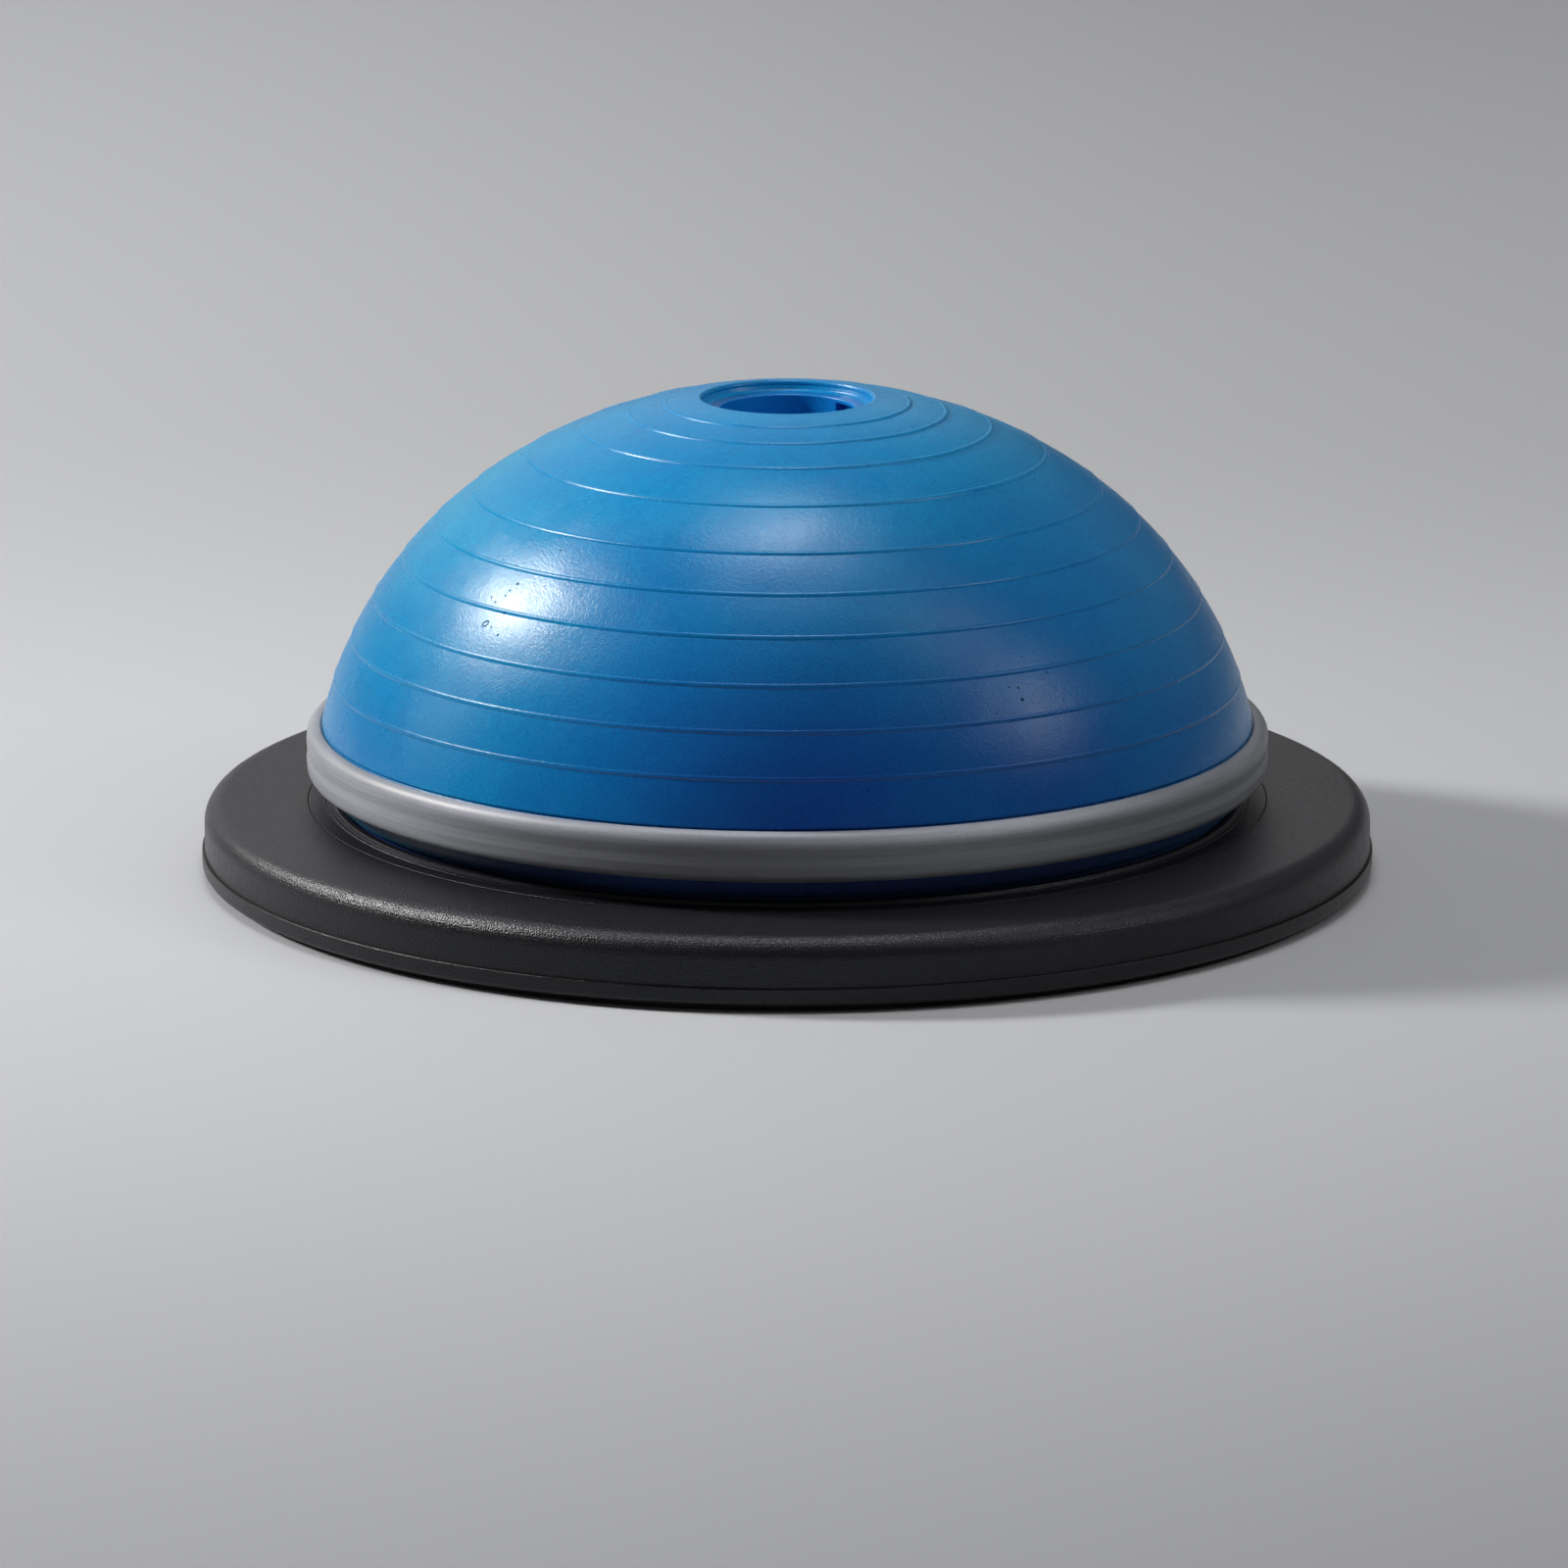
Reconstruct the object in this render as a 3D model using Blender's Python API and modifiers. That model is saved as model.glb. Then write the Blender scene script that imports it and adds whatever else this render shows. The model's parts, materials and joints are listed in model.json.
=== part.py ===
"""Half-dome balance trainer: an inflated, ringed bladder held on a round two-shell platform.

Units are metres and +Z is up. The origin is on the floor, at the centre of the platform.
Every round piece is turned about the Z axis. The moving pieces slide along that axis:
the port in the dome's apex sinks as the dome is pressed, the valve's pin is pushed down
and the valve's cap is lifted off.
"""

import math

import bmesh
import bpy
from mathutils import Matrix, Vector

# Clearances
GAP = 0.0003
SCREW_CLEARANCE = 0.0003
VALVE_CLEARANCE = 0.0003

# Faces round each turned piece
LARGE_SEGMENTS = 48
PORT_SEGMENTS = 32
VALVE_SEGMENTS = 20
SCREW_SEGMENTS = 8
EDGE_STEPS = 4
ARC_STEPS = 3
MERGE_DISTANCE = 0.00001
SHARP_ANGLE = math.radians(32)

# Upper platform shell
PLATFORM_RADIUS = 0.3225
PLATFORM_HEIGHT = 0.0395
EDGE_ROUNDING = 0.0110
RIM_WIDTH = 0.0572
SHELL_WALL = 0.0040
RECESS_DEPTH = 0.0075
DECK_THICKNESS = 0.0040

# Lower platform shell
BASE_CLEARANCE = 0.0040
BASE_PLATE = 0.0050
LIP_OVERHANG = 0.0025
LIP_HEIGHT = 0.0096
LIP_ROUNDING = 0.0015
SPIGOT_HEIGHT = 0.0080
SPIGOT_WALL = 0.0030
RIB_WALL = 0.0030
HUB_RIB_RADIUS = 0.0300
OUTER_RIB_INSET = 0.0072
RADIAL_RIB_COUNT = 8

# Hand grips moulded into the underside
GRIP_LENGTH = 0.1100
GRIP_WIDTH = 0.0300
GRIP_DEPTH = 0.0200
GRIP_WALL = 0.0030
GRIP_CORNER = 0.0080
GRIP_EDGE_DISTANCE = 0.0470

# Foot ring
FOOT_INSET = 0.0065
FOOT_WIDTH = 0.0135
FOOT_SEAT = 0.0018
FOOT_ROUNDING = 0.0008

# Retaining ring
RING_WIDTH = 0.0195
RING_BEAD_RADIUS = 0.0025
RING_BEAD_INSET = 0.0045

# Bladder
DOME_OVERHANG = 0.0086
DOME_RISE = 0.2427
DOME_CENTRE_DROP = 0.0155
DOME_POWER = 2.1
BLADDER_WALL = 0.0035
RIB_ANGLES = (76.2, 71.7, 65.9, 58.4, 50.2, 43.8, 37.6, 31.0, 25.0, 19.1)
RIB_WIDTH = 0.0026
RIB_HEIGHT = 0.0008
BAY_SWELL = 0.0003
BAY_STEP = 0.0004
INNER_BAYS = 5
PINCH_HEIGHT = 0.0080
PINCH_FLARE = 0.0006
ROLL_CLEARANCE = 0.0035
ROLL_WIDTH = 0.0098
NECK_WALL = 0.0040
FLANGE_WIDTH = 0.0110
FLANGE_THICKNESS = 0.0029
FLOOR_SHEET = 0.0020

# Band round the bladder's foot
BAND_LIFT = 0.0155
BAND_HEIGHT = 0.0270
BAND_THICKNESS = 0.0104
BAND_NOTCH = 0.0008
BAND_MOUTH = 0.0024

# Port at the apex
PORT_RADIUS = 0.0490
PORT_FLANGE_RADIUS = 0.0620
PORT_FLANGE_THICKNESS = 0.0025
PORT_LIP_WALL = 0.0021
SHELF_DEPTH = 0.0050
SHELF_FALL = 0.0010
SHELF_THICKNESS = 0.0030
SHELF_FILLET = 0.0012
BORE_RADIUS = 0.0370
BORE_WALL = 0.0045
BORE_LENGTH = 0.0135

# Locking pockets in the bore
POCKET_COUNT = 2
POCKET_AZIMUTH = math.radians(26)
POCKET_WIDTH = 0.0228
POCKET_HEIGHT = 0.0090
POCKET_DEPTH = 0.0030
POCKET_DROP = 0.0022

# Cup below the bore
WELL_DEPTH = 0.0452
CUP_WALL = 0.0028
CUP_FLOOR = 0.0038
CUP_SLEEVE_LENGTH = 0.0085
CUP_SLEEVE_WALL = 0.0022
CUP_FILLET = 0.0030

# Valve in the cup's floor
VALVE_BARREL_RADIUS = 0.0140
VALVE_BARREL_LENGTH = 0.0220
VALVE_BORE_RADIUS = 0.0105
VALVE_FLANGE_RADIUS = 0.0200
VALVE_FLANGE_THICKNESS = 0.0025
VALVE_SEAT_RADIUS = 0.0080
VALVE_WEB_THICKNESS = 0.0025
VALVE_WEB_HEIGHT = 0.0055
FLOW_HOLE_COUNT = 4
FLOW_HOLE_RADIUS = 0.0015
FLOW_HOLE_CIRCLE = 0.0058
GASKET_THICKNESS = 0.0010
NUT_RADIUS = 0.0205
NUT_THICKNESS = 0.0050

# Valve pin
PIN_RADIUS = 0.0028
POPPET_RADIUS = 0.0110
POPPET_THICKNESS = 0.0020
POPPET_SEAL_THICKNESS = 0.0010
POPPET_SEAL_WIDTH = 0.0030
BUTTON_RADIUS = 0.0065
BUTTON_HEIGHT = 0.0036
BUTTON_SOCKET = 0.0018
BUTTON_DISH_RADIUS = 0.0045
BUTTON_SINK = 0.0030
SPRING_RADIUS = 0.0048
SPRING_WIRE_RADIUS = 0.0004
SPRING_TURNS = 4
SPRING_POINTS_PER_TURN = 8

# Valve cap
CAP_RADIUS = 0.0170
CAP_THICKNESS = 0.0026
CAP_SKIRT_LENGTH = 0.0045
CAP_SKIRT_WALL = 0.0016
CAP_SEAL_RADIUS = 0.0158
CAP_SEAL_WIDTH = 0.0036
CAP_SEAL_THICKNESS = 0.0008
CAP_GRIP_LENGTH = 0.0220
CAP_GRIP_WIDTH = 0.0036
CAP_GRIP_HEIGHT = 0.0060

# Screws through the two shells
SHELL_SCREW_COUNT = 8
SHELL_SCREW_RADIUS = 0.0020
SHELL_SCREW_LENGTH = 0.0275
SHELL_POST_HEIGHT = 0.0165
SHELL_HEAD_RADIUS = 0.0046
SHELL_HEAD_HEIGHT = 0.0020
BOSS_WALL = 0.0035

# Screws of the retaining ring
RING_SCREW_COUNT = 8
RING_SCREW_RADIUS = 0.0016
RING_SCREW_LENGTH = 0.0085
RING_HEAD_RADIUS = 0.0032
RING_HEAD_HEIGHT = 0.0018
HEAD_CHAMFER = 0.0008

PART_COLLECTION = "half_dome_balance_trainer"
CUTTER_COLLECTION = "cutters"

# Heights above the floor that more than one piece shares
DOME_CENTRE_HEIGHT = PLATFORM_HEIGHT - DOME_CENTRE_DROP
BAND_BOTTOM = PLATFORM_HEIGHT + BAND_LIFT
BASE_TOP = BASE_CLEARANCE + BASE_PLATE
LIP_TOP = BASE_CLEARANCE + LIP_HEIGHT
POST_TOP = BASE_TOP + SHELL_POST_HEIGHT
DECK_TOP = PLATFORM_HEIGHT - RECESS_DEPTH
DECK_BOTTOM = DECK_TOP - DECK_THICKNESS
FLANGE_TOP = DECK_TOP + GAP + FLANGE_THICKNESS
BAND_TOP = BAND_BOTTOM + BAND_HEIGHT

# Radii that more than one piece shares, from the platform's rim inwards
RECESS_RADIUS = PLATFORM_RADIUS - RIM_WIDTH
RING_OUTER_RADIUS = RECESS_RADIUS - GAP
RING_INNER_RADIUS = RING_OUTER_RADIUS - RING_WIDTH
NECK_RADIUS = RING_INNER_RADIUS - GAP
NECK_INNER_RADIUS = NECK_RADIUS - NECK_WALL
FLANGE_RADIUS = NECK_RADIUS + FLANGE_WIDTH
BAND_SEAT_RADIUS = NECK_RADIUS + ROLL_WIDTH
DOME_RADIUS = BAND_SEAT_RADIUS + DOME_OVERHANG
FOOT_RADIUS = PLATFORM_RADIUS - FOOT_INSET
OUTER_RIB_RADIUS = NECK_RADIUS - OUTER_RIB_INSET
SHELL_SCREW_CIRCLE = (RECESS_RADIUS + SHELL_WALL + FOOT_RADIUS - FOOT_WIDTH) / 2
RING_SCREW_CIRCLE = (FLANGE_RADIUS + GAP + RING_OUTER_RADIUS) / 2
BORE_OUTER_RADIUS = BORE_RADIUS + BORE_WALL
CUP_OUTER_RADIUS = BORE_RADIUS + CUP_WALL


# The dome's curve
def dome_point(angle, inset=0.0):
    """Radius and height of the dome's curve at an angle from its centre, moved in by inset."""
    exponent = 2.0 / DOME_POWER
    across = math.cos(angle) ** exponent
    up = math.sin(angle) ** exponent
    normal = Vector((across ** (DOME_POWER - 1) / DOME_RADIUS, up ** (DOME_POWER - 1) / DOME_RISE))
    normal.normalize()
    radius = DOME_RADIUS * across - inset * normal.x
    height = DOME_CENTRE_HEIGHT + DOME_RISE * up - inset * normal.y
    return radius, height


def dome_angle_at_radius(radius):
    return math.acos((radius / DOME_RADIUS) ** (DOME_POWER / 2))


def dome_angle_at_height(height):
    return math.asin(((height - DOME_CENTRE_HEIGHT) / DOME_RISE) ** (DOME_POWER / 2))


def dome_height_at_radius(radius, inset=0.0):
    return dome_point(dome_angle_at_radius(radius), inset)[1]


# Heights of the port, which hang from the dome's apex
RIM_HEIGHT = dome_height_at_radius(PORT_RADIUS)
COLLAR_TOP = RIM_HEIGHT - GAP
SHELF_OUTER_HEIGHT = RIM_HEIGHT - SHELF_DEPTH
SHELF_INNER_HEIGHT = SHELF_OUTER_HEIGHT - SHELF_FALL
BORE_BOTTOM = SHELF_INNER_HEIGHT - BORE_LENGTH
WELL_FLOOR = RIM_HEIGHT - WELL_DEPTH
VALVE_FLANGE_BOTTOM = WELL_FLOOR + GASKET_THICKNESS + 2 * GAP
VALVE_TOP = VALVE_FLANGE_BOTTOM + VALVE_FLANGE_THICKNESS
VALVE_BOTTOM = VALVE_TOP - VALVE_BARREL_LENGTH
WEB_BOTTOM = VALVE_BOTTOM + VALVE_WEB_HEIGHT
WEB_TOP = WEB_BOTTOM + VALVE_WEB_THICKNESS
POPPET_SEAL_BOTTOM = VALVE_BOTTOM - GAP - POPPET_SEAL_THICKNESS
POPPET_TOP = POPPET_SEAL_BOTTOM - GAP
BUTTON_TOP = VALVE_TOP - BUTTON_SINK
BUTTON_BOTTOM = BUTTON_TOP - BUTTON_HEIGHT
CAP_SEAL_BOTTOM = VALVE_TOP + GAP
CAP_BOTTOM = CAP_SEAL_BOTTOM + CAP_SEAL_THICKNESS + GAP
CAP_TOP = CAP_BOTTOM + CAP_THICKNESS


# Scene helpers
def clear_scene():
    for existing in list(bpy.data.objects):
        bpy.data.objects.remove(existing, do_unlink=True)


def make_collection(name):
    collection = bpy.data.collections.get(name) or bpy.data.collections.new(name)
    if name not in bpy.context.scene.collection.children:
        bpy.context.scene.collection.children.link(collection)
    return collection


def make_material(name, colour, roughness, metallic=0.0):
    material = bpy.data.materials.get(name) or bpy.data.materials.new(name)
    material.use_nodes = True
    shader = material.node_tree.nodes["Principled BSDF"]
    shader.inputs["Base Color"].default_value = (*colour, 1.0)
    shader.inputs["Roughness"].default_value = roughness
    shader.inputs["Metallic"].default_value = metallic
    return material


def blue_vinyl():
    return make_material("blue_vinyl", (0.010, 0.160, 0.440), 0.42)


def grey_rubber():
    return make_material("grey_rubber", (0.260, 0.270, 0.285), 0.55)


def black_plastic():
    return make_material("black_plastic", (0.016, 0.016, 0.017), 0.55)


def black_rubber():
    return make_material("black_rubber", (0.010, 0.010, 0.010), 0.85)


def blue_plastic():
    return make_material("blue_plastic", (0.012, 0.140, 0.380), 0.35)


def dark_plastic():
    return make_material("dark_plastic", (0.030, 0.032, 0.036), 0.40)


def bright_steel():
    return make_material("bright_steel", (0.560, 0.560, 0.570), 0.30, 1.0)


# Modelling helpers
def add_object(name, mesh, collection_name):
    made = bpy.data.objects.new(name, mesh)
    make_collection(collection_name).objects.link(made)
    return made


def finish_mesh(mesh, material):
    mesh.shade_smooth()
    mesh.set_sharp_from_angle(angle=SHARP_ANGLE)
    if material:
        mesh.materials.clear()
        mesh.materials.append(material)


def turned_mesh(name, outline, segments, material=None):
    """Mesh of an outline of (radius, height) points turned about Z, listed down its outer side."""
    profile = bpy.data.meshes.new(name + "_profile")
    points = [(radius, 0.0, height) for radius, height in outline]
    edges = [(index, index + 1) for index in range(len(points) - 1)]
    if outline[0][0] > 0:
        edges.append((len(points) - 1, 0))
    profile.from_pydata(points, edges, [])
    guide = add_object(name + "_profile", profile, CUTTER_COLLECTION)
    screw = guide.modifiers.new("Turn", "SCREW")
    screw.angle = 2 * math.pi
    screw.steps = segments
    screw.render_steps = segments
    screw.use_merge_vertices = True
    screw.merge_threshold = MERGE_DISTANCE
    bpy.context.view_layer.update()
    evaluated = guide.evaluated_get(bpy.context.evaluated_depsgraph_get())
    mesh = bpy.data.meshes.new_from_object(evaluated)
    mesh.name = name
    bpy.data.objects.remove(guide, do_unlink=True)
    bpy.data.meshes.remove(profile)
    finish_mesh(mesh, material)
    return mesh


def turned(name, outline, segments, material):
    mesh = turned_mesh(name, outline, segments, material)
    return add_object(name, mesh, PART_COLLECTION)


def as_cutter(cutter):
    cutter.hide_render = True
    cutter.display_type = "WIRE"
    return cutter


def cylinder_cutter(name, radius, bottom, top, segments, centre=(0.0, 0.0)):
    mesh = bpy.data.meshes.new(name)
    solid = bmesh.new()
    bmesh.ops.create_cone(
        solid,
        cap_ends=True,
        segments=segments,
        radius1=radius,
        radius2=radius,
        depth=top - bottom,
    )
    solid.to_mesh(mesh)
    solid.free()
    cutter = as_cutter(add_object(name, mesh, CUTTER_COLLECTION))
    cutter.location = (centre[0], centre[1], (bottom + top) / 2)
    return cutter


def box_cutter(name, size, centre, azimuth=0.0, corner=0.0):
    """Box of (radial, tangential, vertical) size, turned to an azimuth, its upright edges rounded."""
    mesh = bpy.data.meshes.new(name)
    solid = bmesh.new()
    bmesh.ops.create_cube(solid, size=1.0)
    bmesh.ops.scale(solid, vec=size, verts=solid.verts)
    if corner > 0:
        uprights = [edge for edge in solid.edges if abs(edge.verts[0].co.z - edge.verts[1].co.z) > 0]
        bmesh.ops.bevel(solid, geom=uprights, offset=corner, segments=2, affect="EDGES", profile=0.5)
    solid.to_mesh(mesh)
    solid.free()
    cutter = as_cutter(add_object(name, mesh, CUTTER_COLLECTION))
    cutter.matrix_world = Matrix.Rotation(azimuth, 4, "Z") @ Matrix.Translation(centre)
    return cutter


def combine(target, cutter, operation):
    boolean = target.modifiers.new(cutter.name, "BOOLEAN")
    boolean.operation = operation
    boolean.solver = "EXACT"
    boolean.object = cutter


def cut(target, cutter):
    combine(target, cutter, "DIFFERENCE")


def join(target, cutter):
    combine(target, cutter, "UNION")


def arc(centre, radii, start, end, steps=ARC_STEPS):
    """Points of an elliptical arc about a centre, between two angles in degrees."""
    points = []
    for step in range(steps + 1):
        angle = math.radians(start + (end - start) * step / steps)
        points.append((centre[0] + radii[0] * math.cos(angle), centre[1] + radii[1] * math.sin(angle)))
    return points


def around(count, circle, first=0.0):
    """Centres of equally spaced places on a circle, as (x, y)."""
    places = []
    for index in range(count):
        angle = first + 2 * math.pi * index / count
        places.append((circle * math.cos(angle), circle * math.sin(angle)))
    return places


def shell_screw_places():
    return around(SHELL_SCREW_COUNT, SHELL_SCREW_CIRCLE, math.pi / SHELL_SCREW_COUNT)


def ring_screw_places():
    return around(RING_SCREW_COUNT, RING_SCREW_CIRCLE, math.pi / RING_SCREW_COUNT)


# Platform
def make_platform_top():
    """Upper shell: rounded rim, flat top, a recess for the bladder's foot and short screw bosses."""
    inner_radius = PLATFORM_RADIUS - SHELL_WALL
    roof = PLATFORM_HEIGHT - SHELL_WALL
    inner_rounding = max(EDGE_ROUNDING - SHELL_WALL, SHELL_WALL / 2)
    wall_bottom = LIP_TOP + GAP
    outline = [(0.0, DECK_TOP), (RECESS_RADIUS, DECK_TOP), (RECESS_RADIUS, PLATFORM_HEIGHT)]
    edge_centre = (PLATFORM_RADIUS - EDGE_ROUNDING, PLATFORM_HEIGHT - EDGE_ROUNDING)
    outline += arc(edge_centre, (EDGE_ROUNDING, EDGE_ROUNDING), 90, 0, EDGE_STEPS)
    outline += [(PLATFORM_RADIUS, wall_bottom), (inner_radius, wall_bottom)]
    inner_centre = (inner_radius - inner_rounding, roof - inner_rounding)
    outline += arc(inner_centre, (inner_rounding, inner_rounding), 0, 90, 2)
    outline += [(RECESS_RADIUS + SHELL_WALL, roof), (RECESS_RADIUS + SHELL_WALL, DECK_BOTTOM)]
    outline += [(0.0, DECK_BOTTOM)]
    shell = turned("platform_top", outline, LARGE_SEGMENTS, black_plastic())

    hole_radius = SHELL_SCREW_RADIUS + SCREW_CLEARANCE
    boss_bottom = POST_TOP + GAP
    hole_top = BASE_CLEARANCE + SHELL_SCREW_LENGTH + BOSS_WALL
    for number, place in enumerate(shell_screw_places(), 1):
        name = f"shell_boss_{number}"
        boss = cylinder_cutter(
            name, hole_radius + BOSS_WALL, boss_bottom, roof + SHELL_WALL / 2, SCREW_SEGMENTS, place
        )
        join(shell, boss)
    for number, place in enumerate(shell_screw_places(), 1):
        name = f"shell_boss_hole_{number}"
        cut(shell, cylinder_cutter(name, hole_radius, boss_bottom - GAP, hole_top, SCREW_SEGMENTS, place))
    hole_radius = RING_SCREW_RADIUS + SCREW_CLEARANCE
    for number, place in enumerate(ring_screw_places(), 1):
        name = f"deck_hole_{number}"
        bottom, top = DECK_BOTTOM - GAP, DECK_TOP + GAP
        cut(shell, cylinder_cutter(name, hole_radius, bottom, top, SCREW_SEGMENTS, place))


def grip_centre(height):
    """Centre of a grip pocket that is height tall, before it is turned to its side."""
    radius = PLATFORM_RADIUS - GRIP_EDGE_DISTANCE
    return (radius, 0.0, BASE_CLEARANCE + height / 2)


def make_platform_base():
    """Lower shell: proud lip, locating spigot, rib rings under the deck, grips and screw posts."""
    lip_radius = PLATFORM_RADIUS + LIP_OVERHANG
    spigot_radius = PLATFORM_RADIUS - SHELL_WALL - GAP
    rib_top = DECK_BOTTOM - GAP
    groove_outer = FOOT_RADIUS + GAP
    groove_inner = FOOT_RADIUS - FOOT_WIDTH - GAP
    groove_top = BASE_CLEARANCE + FOOT_SEAT

    outline = [(0.0, BASE_TOP)]
    for radius in (HUB_RIB_RADIUS, OUTER_RIB_RADIUS):
        outer = radius + RIB_WALL
        outline += [(radius, BASE_TOP), (radius, rib_top), (outer, rib_top), (outer, BASE_TOP)]
    outline += [(spigot_radius - SPIGOT_WALL, BASE_TOP)]
    outline += [(spigot_radius - SPIGOT_WALL, LIP_TOP + SPIGOT_HEIGHT)]
    outline += [(spigot_radius, LIP_TOP + SPIGOT_HEIGHT), (spigot_radius, LIP_TOP)]
    top_centre = (lip_radius - LIP_ROUNDING, LIP_TOP - LIP_ROUNDING)
    outline += arc(top_centre, (LIP_ROUNDING, LIP_ROUNDING), 90, 0, 1)
    bottom_centre = (lip_radius - LIP_ROUNDING, BASE_CLEARANCE + LIP_ROUNDING)
    outline += arc(bottom_centre, (LIP_ROUNDING, LIP_ROUNDING), 0, -90, 1)
    outline += [(groove_outer, BASE_CLEARANCE), (groove_outer, groove_top)]
    outline += [(groove_inner, groove_top), (groove_inner, BASE_CLEARANCE), (0.0, BASE_CLEARANCE)]
    shell = turned("platform_base", outline, LARGE_SEGMENTS, black_plastic())

    rib_reach = OUTER_RIB_RADIUS + RIB_WALL / 2
    rib_bottom = BASE_TOP - BASE_PLATE / 2
    rib_size = (2 * rib_reach, RIB_WALL, rib_top - rib_bottom)
    for number in range(RADIAL_RIB_COUNT // 2):
        azimuth = 2 * math.pi * number / RADIAL_RIB_COUNT
        centre = (0.0, 0.0, (rib_top + rib_bottom) / 2)
        join(shell, box_cutter(f"radial_rib_{number + 1}", rib_size, centre, azimuth))

    housing_height = GRIP_DEPTH + GRIP_WALL
    housing_size = (GRIP_WIDTH + 2 * GRIP_WALL, GRIP_LENGTH + 2 * GRIP_WALL, housing_height - GRIP_WALL)
    pocket_size = (GRIP_WIDTH, GRIP_LENGTH, GRIP_DEPTH)
    housing_centre = Vector(grip_centre(housing_height)) + Vector((0, 0, GRIP_WALL / 2))
    pocket_centre = Vector(grip_centre(GRIP_DEPTH)) - Vector((0, 0, GAP))
    for side, azimuth in (("right", 0.0), ("left", math.pi)):
        corner = GRIP_CORNER + GRIP_WALL
        join(shell, box_cutter(f"grip_housing_{side}", housing_size, housing_centre, azimuth, corner))
        cut(shell, box_cutter(f"grip_pocket_{side}", pocket_size, pocket_centre, azimuth, GRIP_CORNER))

    head_top = BASE_CLEARANCE + SHELL_HEAD_HEIGHT + 2 * GAP
    shank_radius = SHELL_SCREW_RADIUS + SCREW_CLEARANCE
    head_radius = SHELL_HEAD_RADIUS + SCREW_CLEARANCE
    post_radius = shank_radius + BOSS_WALL
    bottom = BASE_CLEARANCE - GAP
    for number, place in enumerate(shell_screw_places(), 1):
        name = f"base_post_{number}"
        join(shell, cylinder_cutter(name, post_radius, rib_bottom, POST_TOP, SCREW_SEGMENTS, place))
    for number, place in enumerate(shell_screw_places(), 1):
        shank_name, head_name = f"base_hole_{number}", f"base_counterbore_{number}"
        cut(shell, cylinder_cutter(shank_name, shank_radius, bottom, POST_TOP + GAP, SCREW_SEGMENTS, place))
        cut(shell, cylinder_cutter(head_name, head_radius, bottom, head_top, SCREW_SEGMENTS, place))


def make_foot_ring():
    """Rubber ring in the groove under the lower shell, on which the trainer stands."""
    top = BASE_CLEARANCE + FOOT_SEAT - GAP
    inner = FOOT_RADIUS - FOOT_WIDTH
    outline = [
        (FOOT_RADIUS, top),
        (FOOT_RADIUS, FOOT_ROUNDING),
        (FOOT_RADIUS - FOOT_ROUNDING, 0.0),
        (inner + FOOT_ROUNDING, 0.0),
        (inner, FOOT_ROUNDING),
        (inner, top),
    ]
    turned("foot_ring", outline, LARGE_SEGMENTS, black_rubber())


def make_retaining_ring():
    """Ring flush with the platform's top that presses the bladder's flange onto the deck."""
    bead_centre = RING_INNER_RADIUS + RING_BEAD_INSET
    flange_side = FLANGE_RADIUS + GAP
    foot = DECK_TOP + GAP
    outline = [(RING_OUTER_RADIUS, PLATFORM_HEIGHT), (RING_OUTER_RADIUS, foot), (flange_side, foot)]
    outline += [(flange_side, FLANGE_TOP + GAP), (RING_INNER_RADIUS, FLANGE_TOP + GAP)]
    outline += [(RING_INNER_RADIUS, PLATFORM_HEIGHT)]
    outline += arc((bead_centre, PLATFORM_HEIGHT), (RING_BEAD_RADIUS, RING_BEAD_RADIUS), 180, 0)
    ring = turned("retaining_ring", outline, LARGE_SEGMENTS, black_plastic())
    hole_radius = RING_SCREW_RADIUS + SCREW_CLEARANCE
    hole_top = DECK_BOTTOM - GAP + RING_SCREW_LENGTH + SCREW_CLEARANCE
    for number, place in enumerate(ring_screw_places(), 1):
        name = f"ring_hole_{number}"
        cut(ring, cylinder_cutter(name, hole_radius, foot - GAP, hole_top, SCREW_SEGMENTS, place))


# Screws
def screw_mesh(name, shank_radius, length, head_radius, head_height):
    """Pan-head screw that points up, with its head's underside at height 0 and its tip pointed."""
    outline = [
        (0.0, length),
        (shank_radius / 2, length),
        (shank_radius, length - shank_radius),
        (shank_radius, 0.0),
        (head_radius, 0.0),
        (head_radius, -head_height / 2),
        (head_radius - HEAD_CHAMFER, -head_height),
        (0.0, -head_height),
    ]
    return turned_mesh(name, outline, SCREW_SEGMENTS, bright_steel())


def make_screws():
    shank_length = SHELL_SCREW_LENGTH - SHELL_HEAD_HEIGHT
    mesh = screw_mesh(
        "shell_screw", SHELL_SCREW_RADIUS, shank_length, SHELL_HEAD_RADIUS, SHELL_HEAD_HEIGHT
    )
    height = BASE_CLEARANCE + SHELL_HEAD_HEIGHT + GAP
    for number, place in enumerate(shell_screw_places(), 1):
        screw = add_object(f"shell_screw_{number}", mesh, PART_COLLECTION)
        screw.location = (*place, height)
    mesh = screw_mesh(
        "ring_screw", RING_SCREW_RADIUS, RING_SCREW_LENGTH, RING_HEAD_RADIUS, RING_HEAD_HEIGHT
    )
    for number, place in enumerate(ring_screw_places(), 1):
        screw = add_object(f"ring_screw_{number}", mesh, PART_COLLECTION)
        screw.location = (*place, DECK_BOTTOM - GAP)


# Bladder
def dome_ribs():
    """Outer curve from the port down past the last rib: each bay swells, ends in a rib and steps in."""
    half_width = RIB_WIDTH / 2 / DOME_RISE
    angles = [math.radians(degrees) for degrees in RIB_ANGLES]
    points = [dome_point(dome_angle_at_radius(PORT_RADIUS))]
    for angle in angles:
        points.append(dome_point(angle + half_width, -BAY_SWELL))
        points.append(dome_point(angle, -RIB_HEIGHT))
        points.append(dome_point(angle - half_width, BAY_STEP))
    return points


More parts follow.
